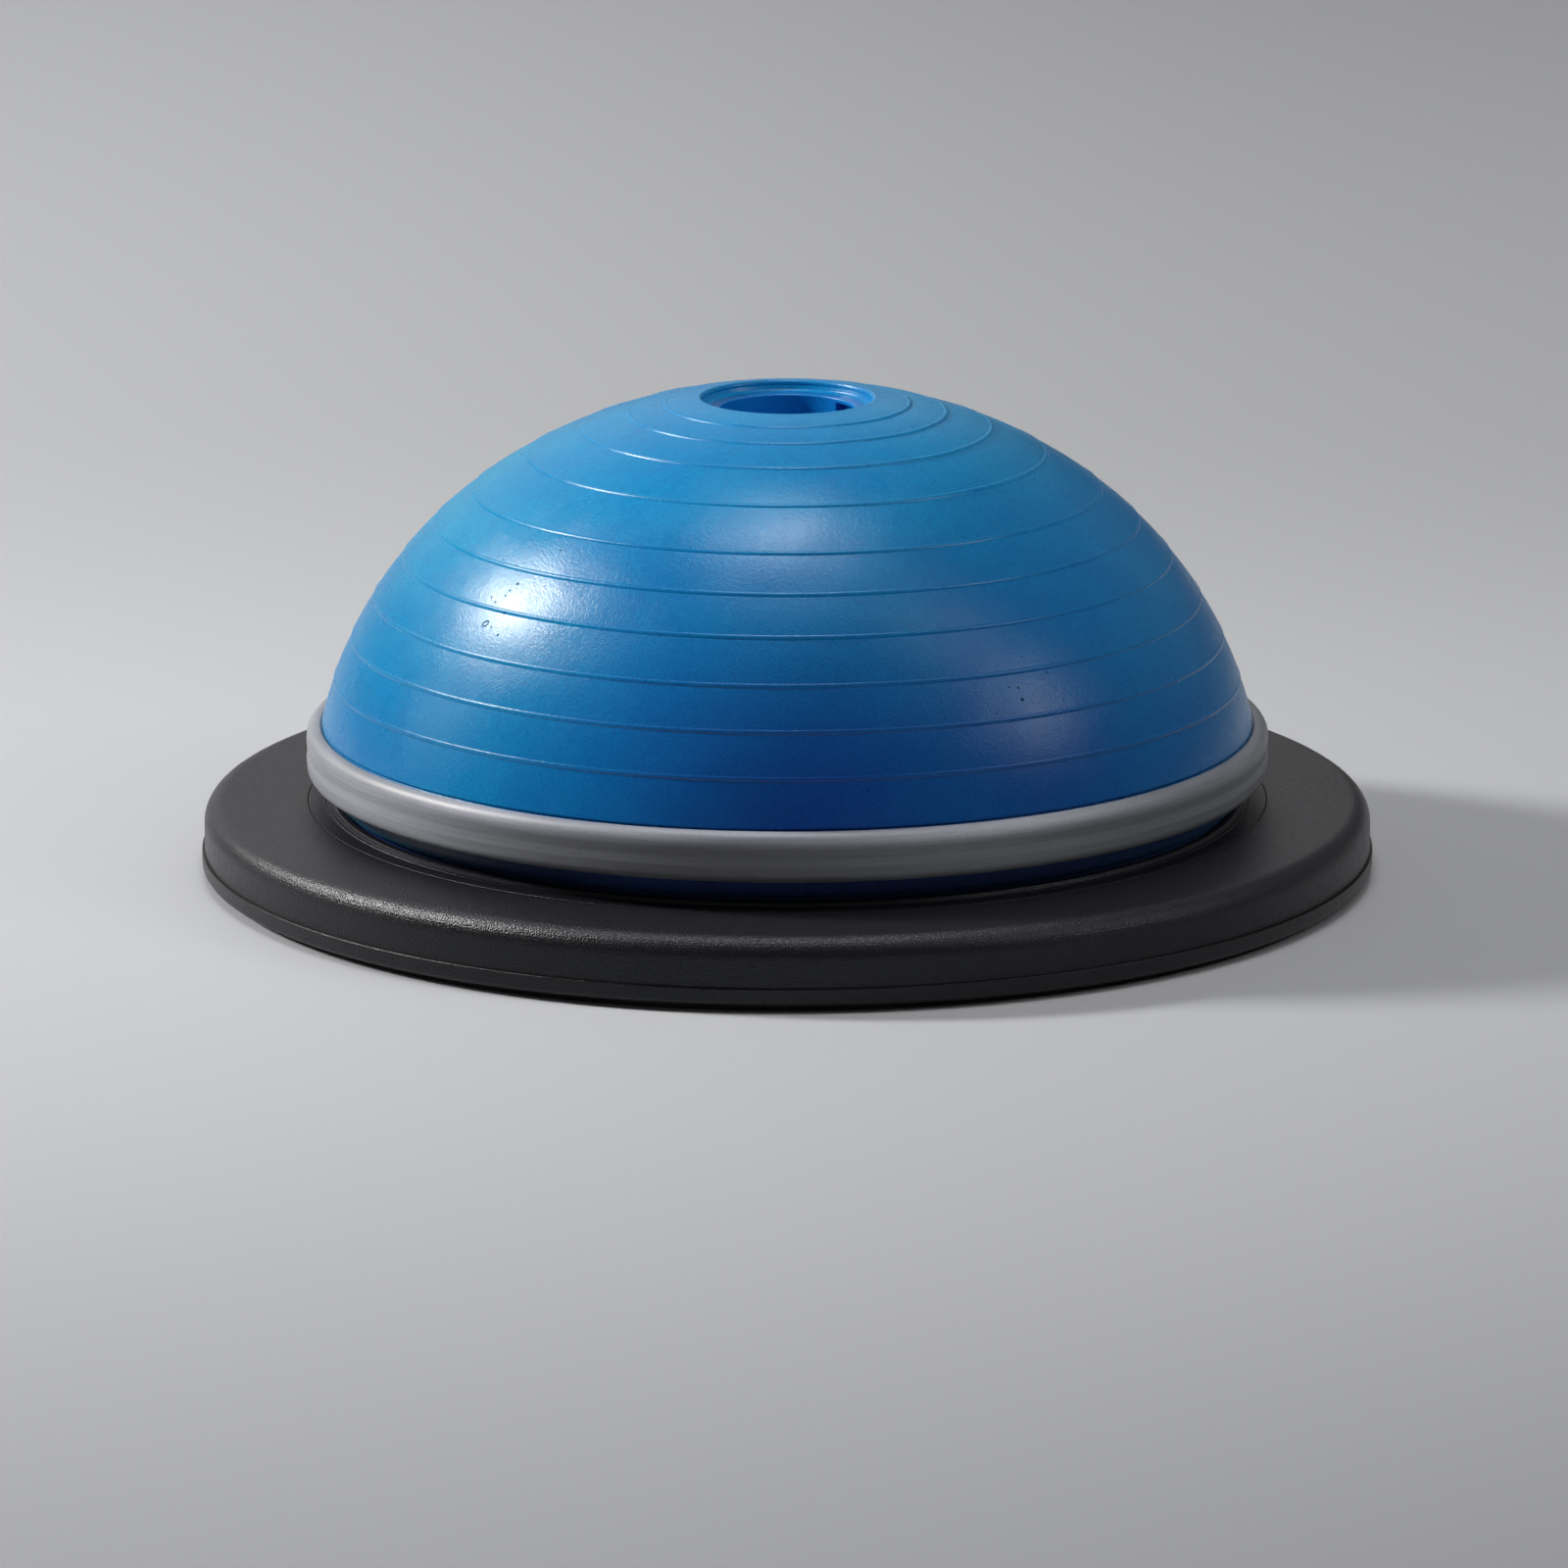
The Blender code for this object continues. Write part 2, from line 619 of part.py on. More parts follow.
def dome_inside():
    """Inner curve from the band up to the port, which runs straight over the port's flange."""
    low = dome_angle_at_height(BAND_TOP + PINCH_HEIGHT)
    high = dome_angle_at_radius(PORT_FLANGE_RADIUS)
    points = []
    for step in range(INNER_BAYS + 1):
        angle = low + (high - low) * step / INNER_BAYS
        points.append(dome_point(angle, BLADDER_WALL))
    points.append((PORT_RADIUS, dome_height_at_radius(PORT_RADIUS, BLADDER_WALL)))
    return points


def make_dome_bladder():
    """Inflated half ball, pinched by its band, with a rolled foot, a neck and a clamped flange."""
    roll_top = BAND_BOTTOM + GAP
    roll_bottom = PLATFORM_HEIGHT + ROLL_CLEARANCE
    roll_centre = (NECK_RADIUS, roll_top)
    roll_radii = (BAND_SEAT_RADIUS - NECK_RADIUS, roll_top - roll_bottom)
    flange_bottom = DECK_TOP + GAP
    seat_inside = BAND_SEAT_RADIUS - NECK_WALL

    outline = dome_ribs()
    outline.append(dome_point(dome_angle_at_height(BAND_TOP + PINCH_HEIGHT)))
    outline += [(BAND_SEAT_RADIUS + PINCH_FLARE, BAND_TOP), (BAND_SEAT_RADIUS, BAND_TOP - PINCH_HEIGHT / 2)]
    outline += arc(roll_centre, roll_radii, 0, -90)
    outline += [(NECK_RADIUS, FLANGE_TOP), (FLANGE_RADIUS, FLANGE_TOP), (FLANGE_RADIUS, flange_bottom)]
    outline += [(NECK_INNER_RADIUS, flange_bottom), (NECK_INNER_RADIUS, roll_bottom + NECK_WALL)]
    outline += [(seat_inside, roll_top + NECK_WALL / 2), (seat_inside, BAND_TOP)]
    outline += dome_inside()
    turned("dome_bladder", outline, LARGE_SEGMENTS, blue_vinyl())


def make_bladder_floor():
    """Sheet that closes the bladder and lies on the deck inside its neck."""
    radius = NECK_INNER_RADIUS - GAP
    bottom = DECK_TOP + GAP
    top = bottom + FLOOR_SHEET
    outline = [(0.0, top), (radius, top), (radius, bottom), (0.0, bottom)]
    turned("bladder_floor", outline, LARGE_SEGMENTS, blue_vinyl())


def make_grey_band():
    """Rubber band of two lobes round the bladder's foot, its mouth flared away from the dome."""
    inner = BAND_SEAT_RADIUS + GAP
    outer = inner + BAND_THICKNESS
    middle = BAND_BOTTOM + BAND_HEIGHT / 2
    lobe = BAND_HEIGHT / 4
    upper_centre = (outer - lobe, middle + lobe)
    lower_centre = (outer - lobe, middle - lobe)
    outline = [(inner + BAND_MOUTH, BAND_TOP)]
    outline += arc(upper_centre, (lobe, lobe), 80, 0)
    outline += [(outer - BAND_NOTCH, middle)]
    outline += arc(lower_centre, (lobe, lobe), 0, -80)
    outline += [(inner + BAND_NOTCH, BAND_BOTTOM), (inner, BAND_BOTTOM + BAND_NOTCH)]
    outline += [(inner, BAND_TOP - PINCH_HEIGHT / 2)]
    turned("grey_band", outline, LARGE_SEGMENTS, grey_rubber())


# Port and cup
def make_port_collar():
    """Moulded port: lip at the dome's mouth, shelf, bore with locking pockets, and a welded flange."""
    outer = PORT_RADIUS - GAP
    lip_inner = outer - PORT_LIP_WALL
    film_inset = BLADDER_WALL + GAP
    flange_top_inner = dome_height_at_radius(PORT_RADIUS, film_inset)
    flange_edge_radius, flange_edge_top = dome_point(dome_angle_at_radius(PORT_FLANGE_RADIUS), film_inset)
    shelf_bottom = SHELF_INNER_HEIGHT - SHELF_THICKNESS
    outline = [
        (outer, COLLAR_TOP),
        (outer, flange_top_inner),
        (flange_edge_radius, flange_edge_top),
        (flange_edge_radius, flange_edge_top - PORT_FLANGE_THICKNESS),
        (outer, flange_top_inner - PORT_FLANGE_THICKNESS),
        (BORE_OUTER_RADIUS, shelf_bottom),
        (BORE_OUTER_RADIUS, BORE_BOTTOM),
        (BORE_RADIUS, BORE_BOTTOM),
        (BORE_RADIUS, SHELF_INNER_HEIGHT - SHELF_FILLET / 2),
        (BORE_RADIUS + SHELF_FILLET / 2, SHELF_INNER_HEIGHT),
        (lip_inner - SHELF_FILLET, SHELF_OUTER_HEIGHT),
        (lip_inner, SHELF_OUTER_HEIGHT + SHELF_FILLET),
        (lip_inner + PORT_LIP_WALL / 4, COLLAR_TOP - SHELF_FILLET),
        (lip_inner + PORT_LIP_WALL / 2, COLLAR_TOP),
    ]
    collar = turned("port_collar", outline, PORT_SEGMENTS, blue_vinyl())
    reach = BORE_RADIUS + POCKET_DEPTH
    size = (reach - BORE_RADIUS / 2, POCKET_WIDTH, POCKET_HEIGHT)
    centre = (reach - size[0] / 2, 0.0, SHELF_INNER_HEIGHT - POCKET_DROP - POCKET_HEIGHT / 2)
    for number in range(POCKET_COUNT):
        azimuth = POCKET_AZIMUTH + 2 * math.pi * number / POCKET_COUNT
        cut(collar, box_cutter(f"locking_pocket_{number + 1}", size, centre, azimuth))


def make_well_cup():
    """Cup that carries the valve, its sleeve lapping the outside of the port's bore."""
    sleeve_inner = BORE_OUTER_RADIUS + GAP
    sleeve_outer = sleeve_inner + CUP_SLEEVE_WALL
    joint = BORE_BOTTOM - GAP
    hole_radius = VALVE_BARREL_RADIUS + VALVE_CLEARANCE
    bottom = WELL_FLOOR - CUP_FLOOR
    outline = [
        (sleeve_outer, joint + CUP_SLEEVE_LENGTH),
        (sleeve_outer, joint),
        (CUP_OUTER_RADIUS, joint - (sleeve_outer - CUP_OUTER_RADIUS)),
        (CUP_OUTER_RADIUS, bottom + CUP_FILLET),
        (CUP_OUTER_RADIUS - CUP_FILLET, bottom),
        (hole_radius, bottom),
        (hole_radius, WELL_FLOOR),
        (BORE_RADIUS - CUP_FILLET, WELL_FLOOR),
        (BORE_RADIUS, WELL_FLOOR + CUP_FILLET),
        (BORE_RADIUS, joint),
        (sleeve_inner, joint),
        (sleeve_inner, joint + CUP_SLEEVE_LENGTH),
    ]
    turned("well_cup", outline, PORT_SEGMENTS, blue_vinyl())


# Valve
def make_valve_body():
    """Flanged barrel with a pierced web that guides the pin, and a seat at its lower end."""
    guide_radius = PIN_RADIUS + VALVE_CLEARANCE
    edge = VALVE_FLANGE_THICKNESS / 4
    outline = [
        (VALVE_FLANGE_RADIUS - edge, VALVE_TOP),
        (VALVE_FLANGE_RADIUS, VALVE_TOP - edge),
        (VALVE_FLANGE_RADIUS, VALVE_FLANGE_BOTTOM),
        (VALVE_BARREL_RADIUS, VALVE_FLANGE_BOTTOM),
        (VALVE_BARREL_RADIUS, VALVE_BOTTOM),
        (VALVE_SEAT_RADIUS, VALVE_BOTTOM),
        (VALVE_SEAT_RADIUS, WEB_BOTTOM),
        (guide_radius, WEB_BOTTOM),
        (guide_radius, WEB_TOP),
        (VALVE_BORE_RADIUS, WEB_TOP),
        (VALVE_BORE_RADIUS, VALVE_TOP),
    ]
    body = turned("valve_body", outline, VALVE_SEGMENTS, dark_plastic())
    for number, place in enumerate(around(FLOW_HOLE_COUNT, FLOW_HOLE_CIRCLE), 1):
        name = f"flow_hole_{number}"
        bottom, top = WEB_BOTTOM - GAP, WEB_TOP + GAP
        cut(body, cylinder_cutter(name, FLOW_HOLE_RADIUS, bottom, top, SCREW_SEGMENTS, place))


def make_valve_gasket():
    inner = VALVE_BARREL_RADIUS + VALVE_CLEARANCE
    bottom = WELL_FLOOR + GAP
    top = bottom + GASKET_THICKNESS
    edge = VALVE_FLANGE_RADIUS - GAP
    outline = [(edge, top), (edge, bottom), (inner, bottom), (inner, top)]
    turned("valve_gasket", outline, VALVE_SEGMENTS, black_rubber())


def make_valve_nut():
    """Six-sided nut that clamps the valve from below the cup's floor."""
    top = WELL_FLOOR - CUP_FLOOR - GAP
    bottom = top - NUT_THICKNESS
    outline = [(0.0, top), (NUT_RADIUS, top), (NUT_RADIUS, bottom), (0.0, bottom)]
    nut = turned("valve_nut", outline, 6, dark_plastic())
    hole_radius = VALVE_BARREL_RADIUS + VALVE_CLEARANCE
    hole_name = "valve_nut_hole"
    cut(nut, cylinder_cutter(hole_name, hole_radius, bottom - GAP, top + GAP, VALVE_SEGMENTS))


def make_valve_stem():
    """Pin with the closing disc at its lower end."""
    top = BUTTON_BOTTOM + BUTTON_SOCKET - GAP
    bottom = POPPET_TOP - POPPET_THICKNESS
    outline = [
        (0.0, top),
        (PIN_RADIUS, top),
        (PIN_RADIUS, POPPET_TOP),
        (POPPET_RADIUS, POPPET_TOP),
        (POPPET_RADIUS, bottom),
        (0.0, bottom),
    ]
    turned("valve_stem", outline, VALVE_SEGMENTS, dark_plastic())


def make_poppet_seal():
    inner = VALVE_SEAT_RADIUS - GAP
    outer = inner + POPPET_SEAL_WIDTH
    top = POPPET_SEAL_BOTTOM + POPPET_SEAL_THICKNESS
    outline = [(outer, top), (outer, POPPET_SEAL_BOTTOM), (inner, POPPET_SEAL_BOTTOM), (inner, top)]
    turned("poppet_seal", outline, VALVE_SEGMENTS, black_rubber())


def make_stem_button():
    """Button pressed onto the pin's top, with a dished crown for the pump's nozzle."""
    socket = PIN_RADIUS + VALVE_CLEARANCE
    outline = [
        (0.0, BUTTON_TOP - BUTTON_SOCKET / 2),
        (BUTTON_DISH_RADIUS, BUTTON_TOP),
        (BUTTON_RADIUS, BUTTON_TOP - BUTTON_SOCKET / 2),
        (BUTTON_RADIUS, BUTTON_BOTTOM),
        (socket, BUTTON_BOTTOM),
        (socket, BUTTON_BOTTOM + BUTTON_SOCKET),
        (0.0, BUTTON_BOTTOM + BUTTON_SOCKET),
    ]
    turned("stem_button", outline, VALVE_SEGMENTS, blue_plastic())


def make_valve_spring():
    """Coil between the web and the button."""
    start = WEB_TOP + GAP + SPRING_WIRE_RADIUS
    end = BUTTON_BOTTOM - GAP - SPRING_WIRE_RADIUS
    count = SPRING_TURNS * SPRING_POINTS_PER_TURN + 1
    curve = bpy.data.curves.new("valve_spring", "CURVE")
    curve.dimensions = "3D"
    curve.bevel_depth = SPRING_WIRE_RADIUS
    curve.bevel_resolution = 1
    curve.use_fill_caps = True
    spline = curve.splines.new("POLY")
    spline.points.add(count - 1)
    for index, point in enumerate(spline.points):
        share = index / (count - 1)
        angle = 2 * math.pi * SPRING_TURNS * share
        height = start + (end - start) * share
        point.co = (SPRING_RADIUS * math.cos(angle), SPRING_RADIUS * math.sin(angle), height, 1.0)
    curve.materials.append(bright_steel())
    add_object("valve_spring", curve, PART_COLLECTION)


def make_valve_cap():
    """Cap whose skirt plugs the valve's bore, with a bar across it to pull it by."""
    skirt_outer = VALVE_BORE_RADIUS - VALVE_CLEARANCE
    skirt_inner = skirt_outer - CAP_SKIRT_WALL
    skirt_bottom = VALVE_TOP - CAP_SKIRT_LENGTH
    edge = CAP_THICKNESS / 4
    outline = [
        (0.0, CAP_TOP),
        (CAP_RADIUS - edge, CAP_TOP),
        (CAP_RADIUS, CAP_TOP - edge),
        (CAP_RADIUS, CAP_BOTTOM),
        (skirt_outer, CAP_BOTTOM),
        (skirt_outer, skirt_bottom),
        (skirt_inner, skirt_bottom),
        (skirt_inner, CAP_BOTTOM),
        (0.0, CAP_BOTTOM),
    ]
    cap = turned("valve_cap", outline, VALVE_SEGMENTS, blue_plastic())
    grip_bottom = CAP_TOP - CAP_THICKNESS / 2
    grip_top = CAP_TOP + CAP_GRIP_HEIGHT
    size = (CAP_GRIP_LENGTH, CAP_GRIP_WIDTH, grip_top - grip_bottom)
    centre = (0.0, 0.0, (grip_top + grip_bottom) / 2)
    join(cap, box_cutter("cap_grip", size, centre, corner=CAP_GRIP_WIDTH / 4))


def make_cap_seal():
    top = CAP_SEAL_BOTTOM + CAP_SEAL_THICKNESS
    inner = CAP_SEAL_RADIUS - CAP_SEAL_WIDTH
    outline = [(CAP_SEAL_RADIUS, top), (CAP_SEAL_RADIUS, CAP_SEAL_BOTTOM)]
    outline += [(inner, CAP_SEAL_BOTTOM), (inner, top)]
    turned("cap_seal", outline, VALVE_SEGMENTS, black_rubber())


def main():
    clear_scene()
    make_collection(PART_COLLECTION)
    make_collection(CUTTER_COLLECTION)
    make_platform_top()
    make_platform_base()
    make_foot_ring()
    make_retaining_ring()
    make_screws()
    make_dome_bladder()
    make_bladder_floor()
    make_grey_band()
    make_port_collar()
    make_well_cup()
    make_valve_body()
    make_valve_gasket()
    make_valve_nut()
    make_valve_stem()
    make_poppet_seal()
    make_stem_button()
    make_valve_spring()
    make_valve_cap()
    make_cap_seal()


main()
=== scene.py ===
import json
import math

import bmesh
import bpy
import numpy as np
from mathutils import Matrix, Vector


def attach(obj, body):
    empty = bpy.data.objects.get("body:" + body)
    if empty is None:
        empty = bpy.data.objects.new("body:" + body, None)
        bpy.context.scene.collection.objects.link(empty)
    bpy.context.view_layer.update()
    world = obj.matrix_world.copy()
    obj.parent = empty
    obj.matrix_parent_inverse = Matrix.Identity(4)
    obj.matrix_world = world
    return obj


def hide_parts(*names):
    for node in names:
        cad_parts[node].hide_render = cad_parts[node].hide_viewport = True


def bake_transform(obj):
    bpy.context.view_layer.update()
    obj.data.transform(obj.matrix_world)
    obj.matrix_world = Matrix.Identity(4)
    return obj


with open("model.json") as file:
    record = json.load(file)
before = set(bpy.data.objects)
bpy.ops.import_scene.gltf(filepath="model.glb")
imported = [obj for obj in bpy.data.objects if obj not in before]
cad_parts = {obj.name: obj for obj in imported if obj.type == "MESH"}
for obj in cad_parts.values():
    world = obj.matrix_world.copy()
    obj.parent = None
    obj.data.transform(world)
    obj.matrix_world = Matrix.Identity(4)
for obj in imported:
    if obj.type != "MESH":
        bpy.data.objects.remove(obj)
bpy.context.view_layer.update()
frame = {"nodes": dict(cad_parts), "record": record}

# Platform, in metres
GAP = 0.0003
PLATFORM_RADIUS = 0.3225
PLATFORM_HEIGHT = 0.0395
EDGE_ROUNDING = 0.0110
SHELL_WALL = 0.0040
RECESS_DEPTH = 0.0075
DECK_THICKNESS = 0.0040
DECK_TOP = PLATFORM_HEIGHT - RECESS_DEPTH
DECK_BOTTOM = DECK_TOP - DECK_THICKNESS
BASE_BOTTOM = 0.0040
BASE_TOP = 0.0090
LIP_TOP = 0.0136
LIP_RADIUS = 0.3240
SPIGOT_HEIGHT = 0.0080
SPIGOT_WALL = 0.0030
FLOOR_RIB_CIRCLES = (0.0300, 0.2380)
FLOOR_RIB_WALL = 0.0030
FOOT_RADIUS = 0.3160
FOOT_WIDTH = 0.0135
FOOT_SEAT = 0.0018
GRIP_LENGTH = 0.110
GRIP_WIDTH = 0.030
GRIP_WALL = 0.003
GRIP_EDGE_DISTANCE = 0.0470

# Screws that join the two shells
SCREW_COUNT = 8
SCREW_CIRCLE = 0.2859
SCREW_SEAT = 0.0063
SCREW_RADIUS = 0.0020
SCREW_LENGTH = 0.0255
SCREW_HEAD_RADIUS = 0.0046
SCREW_HEAD_HEIGHT = 0.0020

# Bladder's foot, retaining ring and band
NECK_RADIUS = 0.2452
NECK_WALL = 0.0040
FLANGE_WIDTH = 0.0110
FLANGE_THICKNESS = 0.0029
FLANGE_RADIUS = NECK_RADIUS + FLANGE_WIDTH
FLANGE_TOP = DECK_TOP + GAP + FLANGE_THICKNESS
FLOOR_SHEET = 0.0020
RING_WIDTH = 0.0195
RING_INNER = NECK_RADIUS + GAP
RING_OUTER = RING_INNER + RING_WIDTH
RECESS_RADIUS = RING_OUTER + GAP
BAND_SEAT = 0.2550
BAND_THICKNESS = 0.0104
BAND_BOTTOM = 0.0550
BAND_TOP = 0.0820

# Dome and its rings
DOME_RADIUS = 0.2636
DOME_RISE = 0.2427
DOME_CENTRE = 0.0240
DOME_POWER = 2.1
WALL = 0.0035
RIB_ANGLES = (76.2, 71.7, 65.9, 58.4, 50.2, 43.8, 37.6, 31.0, 25.0, 19.1)
RIB_HALF = 0.00140
RIB_RISE = 0.00042
SWELL = 0.00030
STEP = 0.00018
BULGE = 0.00010

# Port at the apex and the cup below it
PORT_RADIUS = 0.0490
PORT_LIP = 0.0021
PORT_FLANGE_RADIUS = 0.0620
PORT_FLANGE_THICKNESS = 0.0025
SHELF_DEPTH = 0.0050
SHELF_FALL = 0.0010
SHELF_THICKNESS = 0.0030
BORE_RADIUS = 0.0370
BORE_WALL = 0.0045
BORE_LENGTH = 0.0135
POCKET_COUNT = 2
POCKET_AZIMUTH = math.radians(26)
POCKET_WIDTH = 0.0228
POCKET_HEIGHT = 0.0090
POCKET_DEPTH = 0.0030
POCKET_DROP = 0.0022
WELL_DEPTH = 0.0452
CUP_WALL = 0.0028
CUP_FLOOR = 0.0038
SLEEVE_WALL = 0.0022
SLEEVE_LENGTH = 0.0085

# Valve and its cap
VALVE_FLANGE_RADIUS = 0.0200
VALVE_FLANGE_THICKNESS = 0.0025
VALVE_BARREL_RADIUS = 0.0140
VALVE_BARREL_LENGTH = 0.0220
VALVE_BORE_RADIUS = 0.0105
VALVE_SEAT_RADIUS = 0.0080
WEB_HEIGHT = 0.0055
WEB_THICKNESS = 0.0025
FLOW_HOLE_COUNT = 4
FLOW_HOLE_CIRCLE = 0.0058
FLOW_HOLE_RADIUS = 0.0015
GASKET_THICKNESS = 0.0010
PIN_RADIUS = 0.0028
GUIDE_RADIUS = PIN_RADIUS + GAP
POPPET_RADIUS = 0.0110
POPPET_THICKNESS = 0.0020
POPPET_SEAL_THICKNESS = 0.0010
BUTTON_RADIUS = 0.0065
BUTTON_HEIGHT = 0.0036
BUTTON_SINK = 0.0030
BUTTON_SOCKET = 0.0018
BUTTON_DISH = 0.0009
COIL_RADIUS = 0.0048
COIL_TURNS = 4
WIRE_RADIUS = 0.0004
CAP_RADIUS = 0.0170
CAP_THICKNESS = 0.0026
CAP_CROWN = 0.0009
CAP_SKIRT_LENGTH = 0.0045
CAP_SKIRT_WALL = 0.0016
CAP_SEAL_RADIUS = 0.0158
CAP_SEAL_WIDTH = 0.0036
CAP_SEAL_THICKNESS = 0.0008
CAP_BAR = (0.0220, 0.0036, 0.0073)
CAP_BAR_SINK = 0.0013

# Fineness
ROUND = 384
PORT_ROUND = 192
SMALL_ROUND = 96
SCREW_ROUND = 40
HOLE_ROUND = 32
COIL_STEPS = 32
WIRE_SIDES = 12
CURVE_SAMPLES = 4000
RIB_STEPS = 10
BAY_SPACING = 0.0028
RIB_CLEARANCE = 0.0034
SHARP = math.radians(34)
SUPPORT = 0.00025
NOTHING = 1e-6


# Dome's curve
def dome_point(angle, offset=0.0):
    """Radius and height of the dome's curve, moved out by offset."""
    exponent = 2.0 / DOME_POWER
    across, up = math.cos(angle) ** exponent, math.sin(angle) ** exponent
    normal = Vector((across ** (DOME_POWER - 1) / DOME_RADIUS, up ** (DOME_POWER - 1) / DOME_RISE))
    normal.normalize()
    return (
        DOME_RADIUS * across + offset * normal.x,
        DOME_CENTRE + DOME_RISE * up + offset * normal.y,
    )


def angle_at_radius(radius):
    return math.acos((radius / DOME_RADIUS) ** (DOME_POWER / 2))


def angle_at_height(height):
    return math.asin(((height - DOME_CENTRE) / DOME_RISE) ** (DOME_POWER / 2))


RIM_HEIGHT = dome_point(angle_at_radius(PORT_RADIUS))[1]
SHELF_INNER = RIM_HEIGHT - SHELF_DEPTH - SHELF_FALL
BORE_BOTTOM = SHELF_INNER - BORE_LENGTH
WELL_FLOOR = RIM_HEIGHT - WELL_DEPTH
VALVE_TOP = WELL_FLOOR + GASKET_THICKNESS + 2 * GAP + VALVE_FLANGE_THICKNESS
VALVE_BOTTOM = VALVE_TOP - VALVE_BARREL_LENGTH
WEB_BOTTOM = VALVE_BOTTOM + WEB_HEIGHT
WEB_TOP = WEB_BOTTOM + WEB_THICKNESS
BUTTON_TOP = VALVE_TOP - BUTTON_SINK
BUTTON_BOTTOM = BUTTON_TOP - BUTTON_HEIGHT


# Outlines and turned meshes
def rounded(corners, closed=True):
    """Outline with filleted corners. Each corner is (radius, height) or (radius, height, fillet)."""
    points = []
    count = len(corners)
    for index, corner in enumerate(corners):
        here = Vector(corner[:2])
        fillet = corner[2] if len(corner) > 2 else 0.0
        at_end = not closed and index in (0, count - 1)
        if fillet <= 0 or at_end:
            points.append(tuple(here))
            continue
        before = (Vector(corners[index - 1][:2]) - here).normalized()
        after = (Vector(corners[(index + 1) % count][:2]) - here).normalized()
        half = before.angle(after) / 2
        centre = here + (before + after).normalized() * (fillet / math.sin(half))
        reach = fillet / math.tan(half)
        start, end = here + before * reach - centre, here + after * reach - centre
        first = math.atan2(start.y, start.x)
        sweep = (math.atan2(end.y, end.x) - first + math.pi) % (2 * math.pi) - math.pi
        steps = max(3, math.ceil(abs(sweep) / math.radians(11)))
        for step in range(steps + 1):
            angle = first + sweep * step / steps
            points.append((centre.x + fillet * math.cos(angle), centre.y + fillet * math.sin(angle)))
    return supported(points, closed)


def supported(points, closed):
    """Outline with extra points near the ends of its long runs, so that flats shade flat."""
    result = []
    count = len(points)
    for index, point in enumerate(points):
        result.append(point)
        if index == count - 1 and not closed:
            break
        here, there = Vector(point), Vector(points[(index + 1) % count])
        run = there - here
        if run.length > 6 * SUPPORT:
            result.append(tuple(here + run.normalized() * SUPPORT))
            result.append(tuple(there - run.normalized() * SUPPORT))
    return result


def turned_mesh(name, outline, segments, closed=True, shape=None):
    """Mesh of an outline, listed down its outer side, turned about Z. shape(points) may move the points."""
    angles = np.arange(segments) * (2 * math.pi / segments)
    rows, blocks, total = [], [], 0
    for radius, height in outline:
        if radius < NOTHING:
            blocks.append(np.array([[0.0, 0.0, height]]))
            rows.append(np.full(segments, total))
            total += 1
        else:
            ring = np.stack([radius * np.cos(angles), radius * np.sin(angles), np.full(segments, height)], 1)
            blocks.append(ring)
            rows.append(total + np.arange(segments))
            total += segments
    points = np.concatenate(blocks)
    if shape:
        points = shape(points)
    faces = []
    pairs = list(zip(range(len(rows) - 1), range(1, len(rows))))
    if closed and outline[0][0] > NOTHING:
        pairs.append((len(rows) - 1, 0))
    for upper, lower in pairs:
        a, b = rows[upper], rows[lower]
        quads = np.stack([a, b, np.roll(b, -1), np.roll(a, -1)], 1)
        for quad in quads.tolist():
            corner = list(dict.fromkeys(quad))
            if len(corner) > 2:
                faces.append(corner)
    mesh = bpy.data.meshes.new(name)
    mesh.from_pydata(points.tolist(), [], faces)
    mesh.validate()
    return mesh


def placed(name, data):
    """New object in the scene."""
    made = bpy.data.objects.new(name, data)
    bpy.context.scene.collection.objects.link(made)
    return made


def piece(name, mesh, material, body, nodes=()):
    mesh.shade_smooth()
    mesh.set_sharp_from_angle(angle=SHARP)
    mesh.materials.clear()
    mesh.materials.append(material)
    made = placed(name, mesh)
    if body:
        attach(made, body)
    if nodes:
        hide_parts(*nodes)
    return made


def turned(name, outline, segments, material, body, nodes, shape=None):
    return piece(name, turned_mesh(name, outline, segments, shape=shape), material, body, nodes)


# Cutting
def rounded_box(name, size, centre, azimuth=0.0, upright=0.0, level=0.0):
    """Box of (radial, tangential, vertical) size with its upright and level edges rounded."""
    mesh = bpy.data.meshes.new(name)
    solid = bmesh.new()
    bmesh.ops.create_cube(solid, size=1.0)
    bmesh.ops.scale(solid, vec=size, verts=solid.verts)
    if upright > 0:
        edges = [e for e in solid.edges if abs(e.verts[0].co.z - e.verts[1].co.z) > NOTHING]
        bmesh.ops.bevel(solid, geom=edges, offset=upright, segments=8, affect="EDGES", profile=0.5)
    if level > 0:
        flat = [
            e for e in solid.edges
            if abs(e.verts[0].co.z - e.verts[1].co.z) < NOTHING and len(e.link_faces) == 2
            and abs(e.link_faces[0].normal.z - e.link_faces[1].normal.z) > 0.5
        ]
        bmesh.ops.bevel(solid, geom=flat, offset=level, segments=5, affect="EDGES", profile=0.5)
    solid.transform(Matrix.Rotation(azimuth, 4, "Z") @ Matrix.Translation(centre))
    solid.to_mesh(mesh)
    solid.free()
    return mesh


